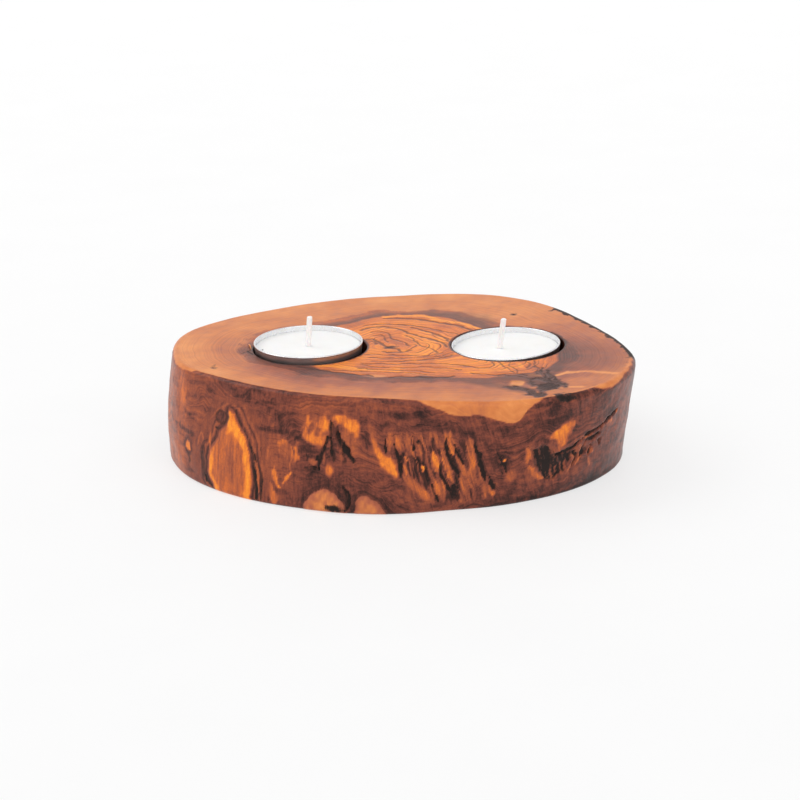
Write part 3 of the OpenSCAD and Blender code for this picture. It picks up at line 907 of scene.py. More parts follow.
def paint_wall(points, angle, z):
    """The bark side."""
    paint = SidePaint(points, 0.19)
    plain_bark(paint, angle, z)
    figured = np.zeros(len(points))
    bent_angle = angle + 0.25 * wave_noise(points, 9, 41)
    bent_z = z + 0.3 * wave_noise(points, 9, 42)
    for figure, middle, hand, rise in FIGURES:
        near = np.abs(turn_from(middle, angle)) < FIGURE_REACH
        part = SidePaint(points[near], 0)
        for name in FIELDS:
            setattr(part, name, getattr(paint, name)[near])
        part.aim(bent_angle[near], bent_z[near], middle, hand, rise)
        before = part.tone + part.char
        figure(part)
        for name in FIELDS:
            getattr(paint, name)[near] = getattr(part, name)
        figured[near] = np.maximum(figured[near], smooth(0.02, 0.2, np.abs(part.tone + part.char - before)))

    # Sapwood shows along the upper edge, deepest over the front.
    lip = np.array(SAPWOOD_LIP)
    bottom = np.interp(angle, lip[:, 0], lip[:, 1])
    back = SLAB_TOP - 1.4 - 1.1 * wave_noise(points, 34, 44)
    back = np.minimum(back, SLAB_TOP - 0.4)
    bottom = np.where((angle > 40) & (angle < 178), back, bottom) + 0.1 * wave_noise(points, 5, 45)
    sap = np.maximum(smooth(-0.4, 0.4, z - bottom), smooth(0.05, 0.0, SLAB_TOP - z))
    sap_tone = 0.56 + 0.05 * wave_noise(points, 12, 47)
    paint.blend_all(sap, pale=1.0, tone=sap_tone, stain=0.0, char=0.0, contour=0.1)
    paint.line = np.where(sap > 0.5, NO_LINE, paint.line)
    # Bark strip at the back right, and the black spot above the burnt patch.
    height = z + 1.5 * wave_noise(points, 7, 46)
    bark = bark_strip(turn_from(0, angle)) * smooth(SLAB_TOP - 6, SLAB_TOP - 3, height)
    paint.blend("char", bark, 0.95)
    paint.aim(angle, z, 312.6)
    spot = smooth(-0.6, 0.9, paint.spot((0.4, 38.1), (2.7, 1.5)) + 0.25 * wave_noise(points, 3, 82, 2))
    paint.blend_all(spot, char=0.95, pale=0.0)
    paint.relief -= 0.5 * spot
    paint.relief *= smooth(0, 3, z) * 0.6 + 0.4
    # Painted shade: darker along the foot at the front right, where the wall meets the floor.
    foot = smooth(285, 300, angle) * (1 - smooth(322, 342, angle)) * (1 - smooth(0.5, 5, z))
    paint.tone -= 0.08 * foot * (1 - sap)
    # Painted shade over the right side, which faces away from the light.
    shade = smooth(300, 335, angle) * (1 - sap)
    paint.tone -= 0.06 * shade
    plain = 1 - np.maximum(figured, spot)
    paint.layered = 0.72 * plain * (1 - 0.7 * smooth(-1, 1, wave_noise(points, 30, 48)))
    return paint


def paint_base(points):
    """The sawn underside, which carries on the top's rings."""
    paint = paint_top(points * (1, 1, 0) + (0, 0, SLAB_TOP))
    paint.char *= 0.3
    paint.relief *= 0
    paint.tone -= 0.08
    return paint


def paint_bore(points):
    """The drilled holes: darkened by the cutter."""
    paint = Paint(points, 0.16)
    paint.tone += 0.12 * wave_noise(points, 9, 51)
    paint.ring = points[:, 2] / 1.3
    paint.contour = np.full(len(points), 0.3)
    return paint


# ---------------------------------------------------------------- the slab's mesh

FRONT_STEP = 0.36           # degrees between columns of the wall
BACK_STEP = 0.6
FRONT = (174, 354)          # degrees of the side that the photograph shows
WALL_TURN = np.r_[np.arange(0, FRONT[0], BACK_STEP), np.arange(*FRONT, FRONT_STEP),
                  np.arange(FRONT[1], 359.7, BACK_STEP)]
WALL_COLUMNS = len(WALL_TURN)
WALL_ROWS = 62
ROUND_STEPS = 6
BORE_COLUMNS = 168
BORE_ROWS = 7
TOP_SPACING = 1.3           # millimetres between vertices
HEART_SPACING = 0.56
BASE_SPACING = 3.0


def wall_profile():
    """Heights and insets of the wall's rings, from the base to the top."""
    turns = np.radians(np.linspace(0, 90, ROUND_STEPS + 1))
    low = np.c_[BASE_ROUND * (1 - np.cos(turns)), BASE_ROUND * (1 - np.sin(turns))]
    middle = np.linspace(BASE_ROUND, SLAB_TOP - TOP_ROUND, WALL_ROWS)[1:-1]
    high = np.c_[SLAB_TOP - TOP_ROUND * (1 - np.sin(turns)), TOP_ROUND * (1 - np.cos(turns))]
    return np.vstack([low, np.c_[middle, 0 * middle], high])


def full_turn(count):
    """Evenly spaced angles once round, in radians."""
    return np.arange(count) * 2 * math.pi / count


def circle(radius, turn, height):
    """Points round the axis at one height, or at a height for each."""
    return np.c_[radius * np.cos(turn), radius * np.sin(turn), np.broadcast_to(height, turn.shape)]


def ring_faces(start, columns, rows):
    """Quads between successive closed rings of vertices, facing outward for rising rings."""
    faces = []
    for row in range(rows - 1):
        a = start + row * columns
        for k in range(columns):
            n = (k + 1) % columns
            faces.append((a + k, a + n, a + columns + n, a + columns + k))
    return faces


def end_caps(start, columns, rows):
    """The two faces that close a stack of rings: the first ring's and the last ring's."""
    last = start + (rows - 1) * columns
    return [tuple(range(start + columns - 1, start - 1, -1)), tuple(range(last, last + columns))]


def slab_wall():
    """The bark side's vertices with their relief, its faces and its paint."""
    profile = wall_profile()
    angle = np.tile(WALL_TURN, len(profile))
    z = np.repeat(profile[:, 0], WALL_COLUMNS)
    inset = np.repeat(profile[:, 1], WALL_COLUMNS)
    radius = slab_radius(angle, z) - inset
    turn = np.radians(angle)
    paint = paint_wall(circle(radius, turn, z), angle, z)
    points = circle(radius + paint.relief, turn, z)
    return points, ring_faces(0, WALL_COLUMNS, len(profile)), paint


def slab_bore(side, start):
    """One bore, rings from its mouth down the wall and in across the floor."""
    place = PLACES[side]
    axis_z = place[2, 2]
    tilt = place[2, 0]
    centre_z = place[2, 3] + tilt * -CUP_SHIFT
    depth = (SLAB_TOP - centre_z) / axis_z
    turn = full_turn(BORE_COLUMNS)
    rings = [
        (BORE_RADIUS + BORE_EASE, 0.0),
        (BORE_RADIUS + BORE_EASE * 0.3, BORE_EASE * 0.3),
        (BORE_RADIUS, BORE_EASE),
    ]
    rings += [(BORE_RADIUS, drop) for drop in np.linspace(1.2, depth, BORE_ROWS)]
    floor = [(r, depth) for r in np.linspace(BORE_RADIUS, POINT_RADIUS, 7)[1:]]
    floor += [(POINT_RADIUS * 0.5, depth + POINT_DEPTH * 0.5), (0.12, depth + POINT_DEPTH)]
    points = []
    for radius, drop in rings + floor:
        local_x = radius * np.cos(turn)
        share = max(0.0, 1 - drop / depth)
        height = depth - drop - share * tilt * local_x / axis_z
        local = np.c_[local_x - CUP_SHIFT, radius * np.sin(turn), height]
        points.append(placed(side, local))
    points = np.vstack(points)
    points[:BORE_COLUMNS, 2] = SLAB_TOP
    size = (start, BORE_COLUMNS, len(rings) + len(floor))
    return points, ring_faces(*size) + end_caps(*size)[1:]


def splinter(start):
    """A sliver of wood that stands up beside the left bore."""
    spine = curve([(-52.9, 3.8, 38.9), (-52.6, 2.2, 39.6), (-52.2, 0.4, 39.7), (-51.6, -1.8, 38.9)], 4)
    sides = 8
    turn = full_turn(sides)
    rings = []
    for i, centre in enumerate(spine):
        thick = 0.24 * math.sin(math.pi * (i + 0.6) / (len(spine) + 0.2)) + 0.03
        rings.append(centre + np.c_[thick * np.cos(turn), 0 * turn, 0.7 * thick * np.sin(turn)])
    size = (start, sides, len(rings))
    return np.vstack(rings), [face[::-1] for face in ring_faces(*size) + end_caps(*size)]


def hex_points(spacing, low, high, rng):
    """Evenly spread points over a rectangle, slightly shaken."""
    out = []
    rows = np.arange(low[1], high[1], spacing * 0.866)
    for i, y in enumerate(rows):
        xs = np.arange(low[0] + (i % 2) * spacing / 2, high[0], spacing)
        out.append(np.c_[xs, np.full(len(xs), y)])
    points = np.vstack(out)
    return points + rng.uniform(-0.12, 0.12, points.shape) * spacing


def cap_faces(outline, holes, inner, offset):
    """Triangles inside a closed loop of known vertices and round its holes, with new inner points."""
    flat = []
    names = []
    edges = []
    for indices, points in [outline, *holes]:
        first = len(flat)
        flat += [Vector(p[:2]) for p in points]
        names += list(indices)
        edges += [(first + k, first + (k + 1) % len(points)) for k in range(len(points))]
    flat += [Vector(p) for p in inner]
    names += list(range(offset, offset + len(inner)))
    _, _, faces, origins, _, _ = delaunay_2d_cdt(flat, edges, [], 1, 1e-6)
    within_hole = [set(indices) for indices, _ in holes]
    named = [tuple(names[origins[i][0]] for i in face) for face in faces]
    return [face for face in named if not any(hole.issuperset(face) for hole in within_hole)]


def turned_up(faces, points, up):
    """The same triangles, all wound to face up or down."""
    out = []
    for face in faces:
        a, b, c = (points[i] for i in face[:3])
        normal = (b[0] - a[0]) * (c[1] - a[1]) - (b[1] - a[1]) * (c[0] - a[0])
        out.append(face if (normal > 0) == up else face[::-1])
    return out


# Finely meshed places of the top besides the heart: the dead knot and the torn grain.
DETAIL_SPOTS = [((46, -46), 15), ((-51, -3.5), 6)]


def detail_room(points):
    """How far inside the finely meshed parts of the top, which take in the bark strip's edge."""
    away_x, away_y = (points - PITH).T
    heart = periodic(HEART_EDGE, bearing(away_x, away_y)) + 1.5 - np.hypot(away_x, away_y)
    spots = [reach - np.hypot(*(points - place).T) for place, reach in DETAIL_SPOTS]
    angle = bearing(points[:, 0], points[:, 1])
    strip = 5 + np.hypot(points[:, 0], points[:, 1]) - slab_radius(angle, np.full(len(points), SLAB_TOP))
    strip = np.where(np.abs(angle - 12) < 30, strip, -9)
    return np.max([heart, strip, *spots], axis=0)


def build_slab():
    """The whole slab: vertices, faces, paints in vertex order, end grain and bore masks."""
    rng = np.random.default_rng(7)
    wall, faces, wall_paint = slab_wall()
    last_ring = np.arange(len(wall) - WALL_COLUMNS, len(wall))
    points = [wall]
    mouths = []
    total = len(wall)
    bore_points = []
    for side in ("left", "right"):
        bore, more = slab_bore(side, total)
        mouths.append((np.arange(total, total + BORE_COLUMNS), bore[:BORE_COLUMNS]))
        total += len(bore)
        points.append(bore)
        bore_points.append(bore)
        faces += more
    centres = [m[1][:, :2].mean(axis=0) for m in mouths]

    def clear_of_bores(x, y, room):
        limit = BORE_RADIUS + BORE_EASE + room
        return np.all([np.hypot(x - c[0], y - c[1]) > limit for c in centres], axis=0)

    def edge_radius(p, outline):
        angle = bearing(p[:, 0], p[:, 1]) % 360
        return np.interp(angle, np.r_[WALL_TURN, 360], np.r_[outline, outline[0]])

    def within(p, outline, room):
        return np.hypot(p[:, 0], p[:, 1]) < edge_radius(p, outline) - room

    top_outline = np.hypot(wall[last_ring, 0], wall[last_ring, 1])
    coarse = hex_points(TOP_SPACING, SLAB_LOW, SLAB_HIGH, rng)
    close = hex_points(HEART_SPACING, SLAB_LOW, SLAB_HIGH, rng)
    inner = np.vstack([coarse[detail_room(coarse) < -0.5], close[detail_room(close) > 0]])
    inner = inner[within(inner, top_outline, 0.55) & clear_of_bores(inner[:, 0], inner[:, 1], 0.4)]
    top = np.c_[inner, np.full(len(inner), SLAB_TOP)]
    top_faces = cap_faces((last_ring, wall[last_ring]), mouths, inner, total)
    top_paint = paint_top(top)
    near_rim = np.minimum(*[np.hypot(*(inner - c).T) for c in centres]) - BORE_RADIUS
    near_edge = edge_radius(inner, top_outline) - np.hypot(inner[:, 0], inner[:, 1])
    ease = smooth(0.4, 3, near_rim) * smooth(0, 3, near_edge)
    dip = 0.12 * top_paint.char + 0.06 * smooth(0.6, 0, top_paint.line)
    top[:, 2] -= ease * (dip + 0.05 * (1 + wave_noise(top, 30, 61, 2)) / 2)
    points.append(top)
    total += len(top)

    sliver, more = splinter(total)
    points.append(sliver)
    total += len(sliver)
    faces += more

    first_ring = np.arange(WALL_COLUMNS)
    base_outline = np.hypot(wall[:WALL_COLUMNS, 0], wall[:WALL_COLUMNS, 1])
    inner = hex_points(BASE_SPACING, SLAB_LOW, SLAB_HIGH, rng)
    inner = inner[within(inner, base_outline, 1.2)]
    base = np.c_[inner, np.zeros(len(inner))]
    base_faces = cap_faces((first_ring, wall[first_ring]), [], inner, total)
    points.append(base)

    everything = np.vstack(points)
    faces += turned_up(top_faces, everything, True)
    faces += turned_up(base_faces, everything, False)

    bores = np.vstack(bore_points)
    sliver_paint = Paint(sliver, 1.0)
    sliver_paint.pale += 1
    paints = [wall_paint, paint_bore(bores), top_paint, sliver_paint, paint_base(base)]
    end_grain = np.r_[wall_paint.layered, np.zeros(len(bores)), np.ones(len(top)), np.zeros(len(sliver)),
                      np.ones(len(base))]
    end_grain[last_ring] = 1
    in_bore = np.r_[np.zeros(len(wall)), np.ones(len(bores)), np.zeros(len(top) + len(sliver) + len(base))]
    return everything, faces, paints, end_grain, in_bore


def make_mesh(name, points_mm, faces, sharp):
    """A smooth-shaded mesh object from millimetres, with edges above an angle kept sharp."""
    mesh = bpy.data.meshes.new(name)
    mesh.from_pydata((np.asarray(points_mm) * MM).tolist(), [], faces)
    mesh.validate()
    mesh.polygons.foreach_set("use_smooth", np.ones(len(mesh.polygons), dtype=bool))
    mesh.set_sharp_from_angle(angle=math.radians(sharp))
    piece = bpy.data.objects.new(name, mesh)
    bpy.context.scene.collection.objects.link(piece)
    return piece


def store(piece, name, *columns):
    """Keeps three numbers per vertex for the material."""
    field = piece.data.attributes.new(name, "FLOAT_VECTOR", "POINT")
    field.data.foreach_set("vector", np.stack(columns, axis=1).astype(np.float32).ravel())


def spiral(points, per_mm):
    """The points turned about the trunk's axis in step with their height, where the grain leans."""
    angle = bearing(points[:, 0], points[:, 1]) % 360
    leaning = smooth(252, 272, angle) * (1 - smooth(325, 350, angle))
    leaning -= smooth(115, 130, angle) * (1 - smooth(150, 170, angle))
    turn = per_mm * leaning * (points[:, 2] - 15)
    c, s = np.cos(turn), np.sin(turn)
    return c * points[:, 0] - s * points[:, 1], s * points[:, 0] + c * points[:, 1], points[:, 2]


# ---------------------------------------------------------------- materials

def rgb(red, green, blue):
    """A display colour, 0 to 255, as the linear colour that a shader takes."""
    out = []
    for value in (red, green, blue):
        value /= 255
        out.append(value / 12.92 if value <= 0.04045 else ((value + 0.055) / 1.055) ** 2.4)
    return (*out, 1.0)


class Graph:
    """A material and short ways to add nodes to it."""

    def __init__(self, name):
        self.material = bpy.data.materials.new(name)
        self.material.use_nodes = True
        self.tree = self.material.node_tree
        self.shader = self.tree.nodes["Principled BSDF"]

    def add(self, kind, inputs=None, **settings):
        node = self.tree.nodes.new(kind)
        for key, value in settings.items():
            setattr(node, key, value)
        for key, value in (inputs or {}).items():
            self.put(node.inputs[key], value)
        return node

    def put(self, socket, value):
        if isinstance(value, bpy.types.NodeSocket):
            self.tree.links.new(value, socket)
        else:
            socket.default_value = value

    def math(self, operation, *values, clamp=False):
        node = self.add("ShaderNodeMath", operation=operation, use_clamp=clamp)
        for socket, value in zip(node.inputs, values):
            self.put(socket, value)
        return node.outputs[0]

    def mad(self, value, scale, offset):
        return self.math("MULTIPLY_ADD", value, scale, offset)

    def step(self, value, low, high):
        """0 below low, 1 above high, softly between."""
        node = self.add("ShaderNodeMapRange", interpolation_type="SMOOTHSTEP",
                        inputs={"Value": value, "From Min": low, "From Max": high})
        return node.outputs["Result"]

    def mix(self, factor, a, b):
        node = self.add("ShaderNodeMix", data_type="RGBA")
        self.put(node.inputs[0], factor)
        self.put(node.inputs[6], a)
        self.put(node.inputs[7], b)
        return node.outputs[2]

    def ramp(self, factor, stops):
        node = self.add("ShaderNodeValToRGB", inputs={"Fac": factor})
        elements = node.color_ramp.elements
        while len(elements) < len(stops):
            elements.new(1.0)
        for element, (place, colour) in zip(elements, stops):
            element.position = place
            element.color = colour
        return node.outputs["Color"]

    def place(self):
        """Position on the piece, in millimetres."""
        node = self.add("ShaderNodeTexCoord")
        return self.scale(node.outputs["Object"], 1 / MM)

    def scale(self, vector, amount):
        node = self.add("ShaderNodeVectorMath", operation="SCALE", inputs={0: vector})
        self.put(node.inputs["Scale"], amount)
        return node.outputs[0]

    def stretch(self, vector, amounts):
        node = self.add("ShaderNodeVectorMath", operation="MULTIPLY", inputs={0: vector, 1: amounts})
        return node.outputs[0]

    def noise(self, vector, scale, detail=3.0, roughness=0.55):
        node = self.add("ShaderNodeTexNoise", inputs={
            "Vector": vector, "Scale": scale, "Detail": detail, "Roughness": roughness})
        return node.outputs[0]

    def noise_along(self, value, scale, detail=3.0, roughness=0.6):
        node = self.add("ShaderNodeTexNoise", noise_dimensions="1D", inputs={
            "W": value, "Scale": scale, "Detail": detail, "Roughness": roughness})
        return node.outputs[0]

    def field(self, name):
        node = self.add("ShaderNodeAttribute", attribute_name=name)
        parts = self.add("ShaderNodeSeparateXYZ", inputs={0: node.outputs["Vector"]})
        return node.outputs["Vector"], parts.outputs

    def bump(self, height, depth_mm, strength=1.0):
        node = self.add("ShaderNodeBump", inputs={
            "Strength": strength, "Distance": depth_mm * MM, "Height": height})
        self.tree.links.new(node.outputs["Normal"], self.shader.inputs["Normal"])


def wood_material():
    g = Graph("oiled_wood")
    place = g.place()
    _, (tone, pale, stain) = g.field("tint")
    _, (char, line, ring) = g.field("marks")
    fibre, _ = g.field("fibre")
    _, (end_grain, in_bore, contour) = g.field("kind")

    fine = g.noise(place, 1.5, 3.0, 0.6)
    middle = g.noise(place, 0.34)
    broad = g.noise(place, 0.07, 2.0)
    streak = g.noise(g.stretch(fibre, (0.85, 0.85, 0.085)), 1.0, 5.0, 0.68)
    slow = g.noise(place, 0.11, 1.0)
    waver = g.mad(middle, 0.12, g.mad(slow, 0.8, ring))
    rings = g.noise_along(waver, 2.1, 4.0, 0.7)
    grain = g.add("ShaderNodeMix", data_type="FLOAT")
    for socket, value in zip(grain.inputs[:1] + grain.inputs[2:4], (end_grain, streak, rings)):
        g.put(socket, value)
    grain = grain.outputs[0]

    # Fibres show less in the dark ground than in the amber wood.
    grain_depth = g.mad(tone, 0.7, 0.5)
    centred = g.math("MULTIPLY", g.math("SUBTRACT", grain, 0.5), grain_depth)
    shade = g.mad(fine, 0.32, g.mad(middle, 0.22, g.mad(broad, 0.2, -0.37)))
    shade = g.math("MULTIPLY", shade, g.mad(tone, 0.6, 0.62))
    depth = g.math("ADD", tone, g.math("ADD", shade, centred))
    wood = g.ramp(depth, [
        (0.0, rgb(40, 17, 13)), (0.11, rgb(84, 42, 33)), (0.2, rgb(119, 60, 46)),
        (0.42, rgb(164, 84, 52)), (0.62, rgb(206, 106, 48)), (0.82, rgb(236, 130, 45)),
        (1.0, rgb(252, 154, 46))
    ])
    sap_shade = g.math("ADD", g.mad(grain, 0.38, -0.19), g.mad(middle, 0.2, g.mad(broad, 0.3, -0.25)))
    sapwood = g.ramp(g.math("ADD", tone, sap_shade), [
        (0.0, rgb(112, 58, 42)), (0.25, rgb(172, 94, 66)), (0.5, rgb(212, 125, 68)),
        (0.75, rgb(234, 150, 84))
    ])
    sap_edge = g.step(g.mad(fine, 0.4, g.mad(middle, 0.3, g.math("SUBTRACT", pale, 0.35))), 0.25, 0.75)
    colour = g.mix(sap_edge, wood, sapwood)
    stain_shade = g.ramp(g.mad(grain, 0.42, g.mad(middle, 0.45, 0.06)),
                         [(0.2, rgb(76, 41, 35)), (0.8, rgb(130, 77, 62))])
    colour = g.mix(g.math("MULTIPLY", stain, g.mad(middle, 0.5, 0.65), clamp=True), colour, stain_shade)

    # Fine lines where the ring coordinate passes a whole number.
    turn = g.math("FRACT", g.mad(middle, 0.1, g.mad(slow, 0.9, ring)))
    ridge = g.math("ABSOLUTE", g.math("SUBTRACT", turn, 0.5))
    thin = g.step(ridge, 0.40, 0.49)
    patchy = g.step(g.math("ADD", broad, g.mad(fine, 0.35, -0.18)), 0.36, 0.6)
    lines = g.math("MULTIPLY", g.math("MULTIPLY", thin, contour, clamp=True), patchy)
    colour = g.mix(lines, colour, rgb(74, 38, 26))
    # The marked lines, with a wandering edge.
    gap = g.mad(fine, 0.4, g.math("SUBTRACT", line, 0.2))
    drawn = g.math("SUBTRACT", 1.0, g.step(gap, -0.2, 0.4))
    colour = g.mix(g.math("MULTIPLY", drawn, 0.72), colour, rgb(66, 32, 22))
    # Split and burnt wood.
    crossed = g.mad(streak, g.mad(end_grain, -1.3, 1.9), g.mad(end_grain, 0.65, -0.95))
    crossed = g.math("MULTIPLY", crossed, g.step(char, 0.0, 0.3))
    burnt = g.math("ADD", g.mad(fine, 0.6, -0.3), g.math("ADD", char, crossed))
    singed = g.step(burnt, 0.1, 0.5)
    colour = g.mix(g.math("MULTIPLY", singed, 0.7), colour, rgb(66, 32, 22))
    black = g.step(burnt, 0.42, 0.74)
    black_colour = g.mix(streak, rgb(8, 5, 4), rgb(44, 26, 20))
    black_top = g.mix(grain, rgb(24, 16, 16), rgb(100, 78, 74))
    black_colour = g.mix(end_grain, black_colour, black_top)
    colour = g.mix(black, colour, black_colour)
    colour = g.mix(g.math("MULTIPLY", in_bore, 0.55), colour, rgb(44, 24, 17))
    g.put(g.shader.inputs["Base Color"], colour)

    gloss = g.mad(middle, 0.2, g.mad(black, 0.3, g.mad(end_grain, 0.04, 0.22)))
    g.put(g.shader.inputs["Roughness"], gloss)
    g.shader.inputs["Specular IOR Level"].default_value = 0.22
    height = g.mad(grain, 0.3, g.mad(fine, 0.15, g.mad(drawn, -0.5, g.mad(black, -0.9, 0.5))))
    g.bump(height, 0.25, 0.45)
    return g.material


def aluminium_material():
    g = Graph("drawn_aluminium")
    place = g.place()
    drawn = g.noise(g.stretch(place, (3.0, 3.0, 0.18)), 1.0, 3.0, 0.6)
    turned = g.noise(g.stretch(place, (0.3, 0.3, 6.0)), 1.0, 2.0)
    cloud = g.noise(place, 0.25)
    colour = g.ramp(g.mad(cloud, 0.8, g.mad(drawn, 0.2, 0.0)),
                    [(0.2, rgb(228, 228, 230)), (0.8, rgb(246, 246, 247))])
    # Painted shade: the cup's outer wall, down in the bore, is a darker warm grey with horizontal bands.
    _, (outside, _, _) = g.field("skin")
    colour = g.mix(outside, colour, g.ramp(turned, [(0.3, rgb(176, 166, 164)), (0.7, rgb(200, 192, 190))]))
    g.put(g.shader.inputs["Base Color"], colour)
    g.shader.inputs["Metallic"].default_value = 1.0
    g.put(g.shader.inputs["Roughness"], g.mad(outside, 0.08, g.mad(drawn, 0.05, g.mad(cloud, 0.1, 0.2))))
    g.bump(g.mad(drawn, 0.1, g.math("MULTIPLY", turned, 0.5)), 0.01, 0.12)
    return g.material


def wax_material(speck):
    """Candle wax; speck is a fleck of soot on the left one's surface."""
    g = Graph("candle_wax")
    place = g.place()
    cloud = g.noise(place, 0.16, 3.0)
    grain = g.noise(place, 2.2, 2.0)
    colour = g.ramp(g.mad(grain, 0.25, g.mad(cloud, 0.8, 0.0)),
                    [(0.25, rgb(246, 244, 241)), (0.75, rgb(252, 251, 249))])
    offset = g.add("ShaderNodeVectorMath", operation="SUBTRACT", inputs={0: place, 1: speck})
    flat = g.stretch(offset.outputs[0], (1.6, 0.55, 0.3))
    away = g.add("ShaderNodeVectorMath", operation="LENGTH", inputs={0: flat}).outputs["Value"]
    fleck = g.math("SUBTRACT", 1.0, g.step(g.mad(grain, 0.5, away), 0.5, 0.95))
    colour = g.mix(g.math("MULTIPLY", fleck, 0.75), colour, rgb(96, 92, 90))
    g.put(g.shader.inputs["Base Color"], colour)
    g.shader.inputs["Subsurface Weight"].default_value = 0.35
    g.shader.inputs["Subsurface Radius"].default_value = (1.0, 0.85, 0.7)
    g.shader.inputs["Subsurface Scale"].default_value = 0.0016
    g.put(g.shader.inputs["Roughness"], g.mad(cloud, 0.2, 0.3))
    g.bump(g.mad(cloud, 0.8, g.math("MULTIPLY", grain, 0.2)), 0.12, 0.35)
    return g.material


def wick_material():
    g = Graph("waxed_cotton")
    place = g.place()
    fibre = g.noise(g.stretch(place, (3.0, 3.0, 0.8)), 1.0, 4.0)
    colour = g.ramp(fibre, [(0.3, rgb(238, 233, 230)), (0.65, rgb(252, 250, 248))])
    g.put(g.shader.inputs["Base Color"], colour)
    g.shader.inputs["Subsurface Weight"].default_value = 0.2
    g.shader.inputs["Subsurface Scale"].default_value = 0.0006
    g.shader.inputs["Sheen Weight"].default_value = 0.2
    g.put(g.shader.inputs["Roughness"], g.mad(fibre, 0.3, 0.45))
    g.bump(fibre, 0.05, 0.4)
    return g.material


def tab_material():
    g = Graph("tinned_steel")
    place = g.place()
    rolled = g.noise(g.stretch(place, (0.4, 5.0, 1.0)), 1.0, 3.0)
    spangle = g.noise(place, 0.7, 2.0)
    colour = g.ramp(spangle, [(0.3, rgb(168, 168, 170)), (0.7, rgb(204, 204, 206))])
    g.put(g.shader.inputs["Base Color"], colour)
    g.shader.inputs["Metallic"].default_value = 1.0
    g.put(g.shader.inputs["Roughness"], g.mad(rolled, 0.25, 0.22))
    g.bump(rolled, 0.04, 0.4)
    return g.material


def floor_material():
    g = Graph("pale_floor")
    paper = g.noise(g.place(), 0.02, 2.0)
    colour = g.ramp(paper, [(0.3, rgb(144, 144, 144)), (0.7, rgb(146, 146, 146))])
    g.put(g.shader.inputs["Base Color"], colour)
    g.shader.inputs["Roughness"].default_value = 0.6
    g.shader.inputs["Specular IOR Level"].default_value = 0.1
    # Lit from below as well, as a light table is, so that shadows stay faint.
    g.shader.inputs["Emission Color"].default_value = (1, 1, 1, 1)
    g.shader.inputs["Emission Strength"].default_value = 0.66
    return g.material


# ---------------------------------------------------------------- the tealights' pieces

TURNS = 160


def closed_faces(rows):
    """Quads between successive rings, and from the last back to the first."""
    last = (rows - 1) * TURNS
    closing = [(last + k, last + (k + 1) % TURNS, (k + 1) % TURNS, k) for k in range(TURNS)]
    return ring_faces(0, TURNS, rows) + closing


def lathe(profile, wobble):
    """Points and quads of a closed profile of (radius, height) turned about the axis."""
    turn = full_turn(TURNS)
    rings = [circle(radius + wobble(turn, radius, z), turn, z) for radius, z in profile]
    return np.vstack(rings), closed_faces(len(rings))


def arc(centre, radius, start, end, steps):
    """Points of a round stretch of a profile, angles in degrees."""
    turn = np.radians(np.linspace(start, end, steps))
    return [(centre[0] + radius * math.cos(t), centre[1] + radius * math.sin(t)) for t in turn]


SHEET = 0.25        # thickness of the aluminium
BEAD = 0.32         # radius of the rolled rim
BEAD_POINTS = 14
CUP_BASE = 18.3     # radius at the foot
PANEL = 14.6        # radius of the base's raised panel
PANEL_RISE = 0.6
WALL_TOP = RIM_RADIUS - BEAD - SHEET / 4


def wall_line(z):
    """Middle of the cup's wall at a height."""
    return CUP_BASE - SHEET / 2 + (WALL_TOP - CUP_BASE + SHEET / 2) * (z - 0.4) / (CUP_HEIGHT - 0.8)


def bead_bump(z):
    """Two shallow rings rolled into the wall."""
    return 0.07 * (math.exp(-((z - 12.9) / 0.28) ** 2) + math.exp(-((z - 2.4) / 0.35) ** 2))


def cup_piece(side):
    """The pressed cup: base panel, wall, rolled rim, and the same again inside."""
    half = SHEET / 2
    heights = list(np.linspace(0.7, CUP_HEIGHT - 2 * BEAD - 0.1, 44))
    outer = [(0.05, PANEL_RISE)]
    outer += [(r, PANEL_RISE) for r in (3, 5.6)]
    outer += arc((6.2, PANEL_RISE), 0.35, 180, 0, 5)
    outer += [(r, PANEL_RISE) for r in (7, 10, PANEL - 0.3)]
    outer += [(PANEL + 0.05, PANEL_RISE - 0.12), (PANEL + 0.5, 0.08), (PANEL + 0.9, 0.0)]
    outer += arc((CUP_BASE - 0.7, 0.7), 0.7, -90, 0, 6)
    outer += [(wall_line(z) + half + bead_bump(z), z) for z in heights]
    rim_z = CUP_HEIGHT - BEAD
    outer += arc((RIM_RADIUS - BEAD, rim_z), BEAD, -110, 175, BEAD_POINTS)
    inner = [(wall_line(z) - half + bead_bump(z), z) for z in heights[::-1]]
    inner += arc((CUP_BASE - 0.7, 0.7), 0.7 - SHEET, 0, -90, 5)
    inner += [(PANEL + 1.0, SHEET), (PANEL + 0.6, SHEET + 0.08), (PANEL - 0.1, PANEL_RISE + SHEET)]
    inner += [(r, PANEL_RISE + SHEET) for r in (9, 4, 0.05)]
    profile = outer + inner
    rng = np.random.default_rng({"left": 3, "right": 4}[side])
    phases = rng.uniform(0, 2 * math.pi, 6)

    def wobble(turn, radius, z):
        share = min(1.0, radius / CUP_BASE) * (0.3 + 0.7 * z / CUP_HEIGHT)
        slow = 0.03 * np.sin(2 * turn + phases[0]) + 0.02 * np.sin(3 * turn + phases[1])
        flutes = 0.004 * np.sin(46 * turn + phases[2]) * np.sin(5 * turn + phases[3])
        dents = 0.03 * np.sin(9 * turn + phases[4] + 0.35 * z) * math.exp(-((z - 7) / 3.5) ** 2)
        return share * (slow + flutes - np.abs(dents))

    points, faces = lathe(profile, wobble)
    piece = make_piece(side, "tealight_cup", points, faces, 40)
    # The outside is duller than the bead and the inside: rougher, and given painted shade, a darker warm
    # grey.
    outside = np.repeat(np.r_[np.ones(len(outer) - BEAD_POINTS), np.zeros(BEAD_POINTS + len(inner))], TURNS)
    store(piece, "skin", outside, outside, outside)
    return piece


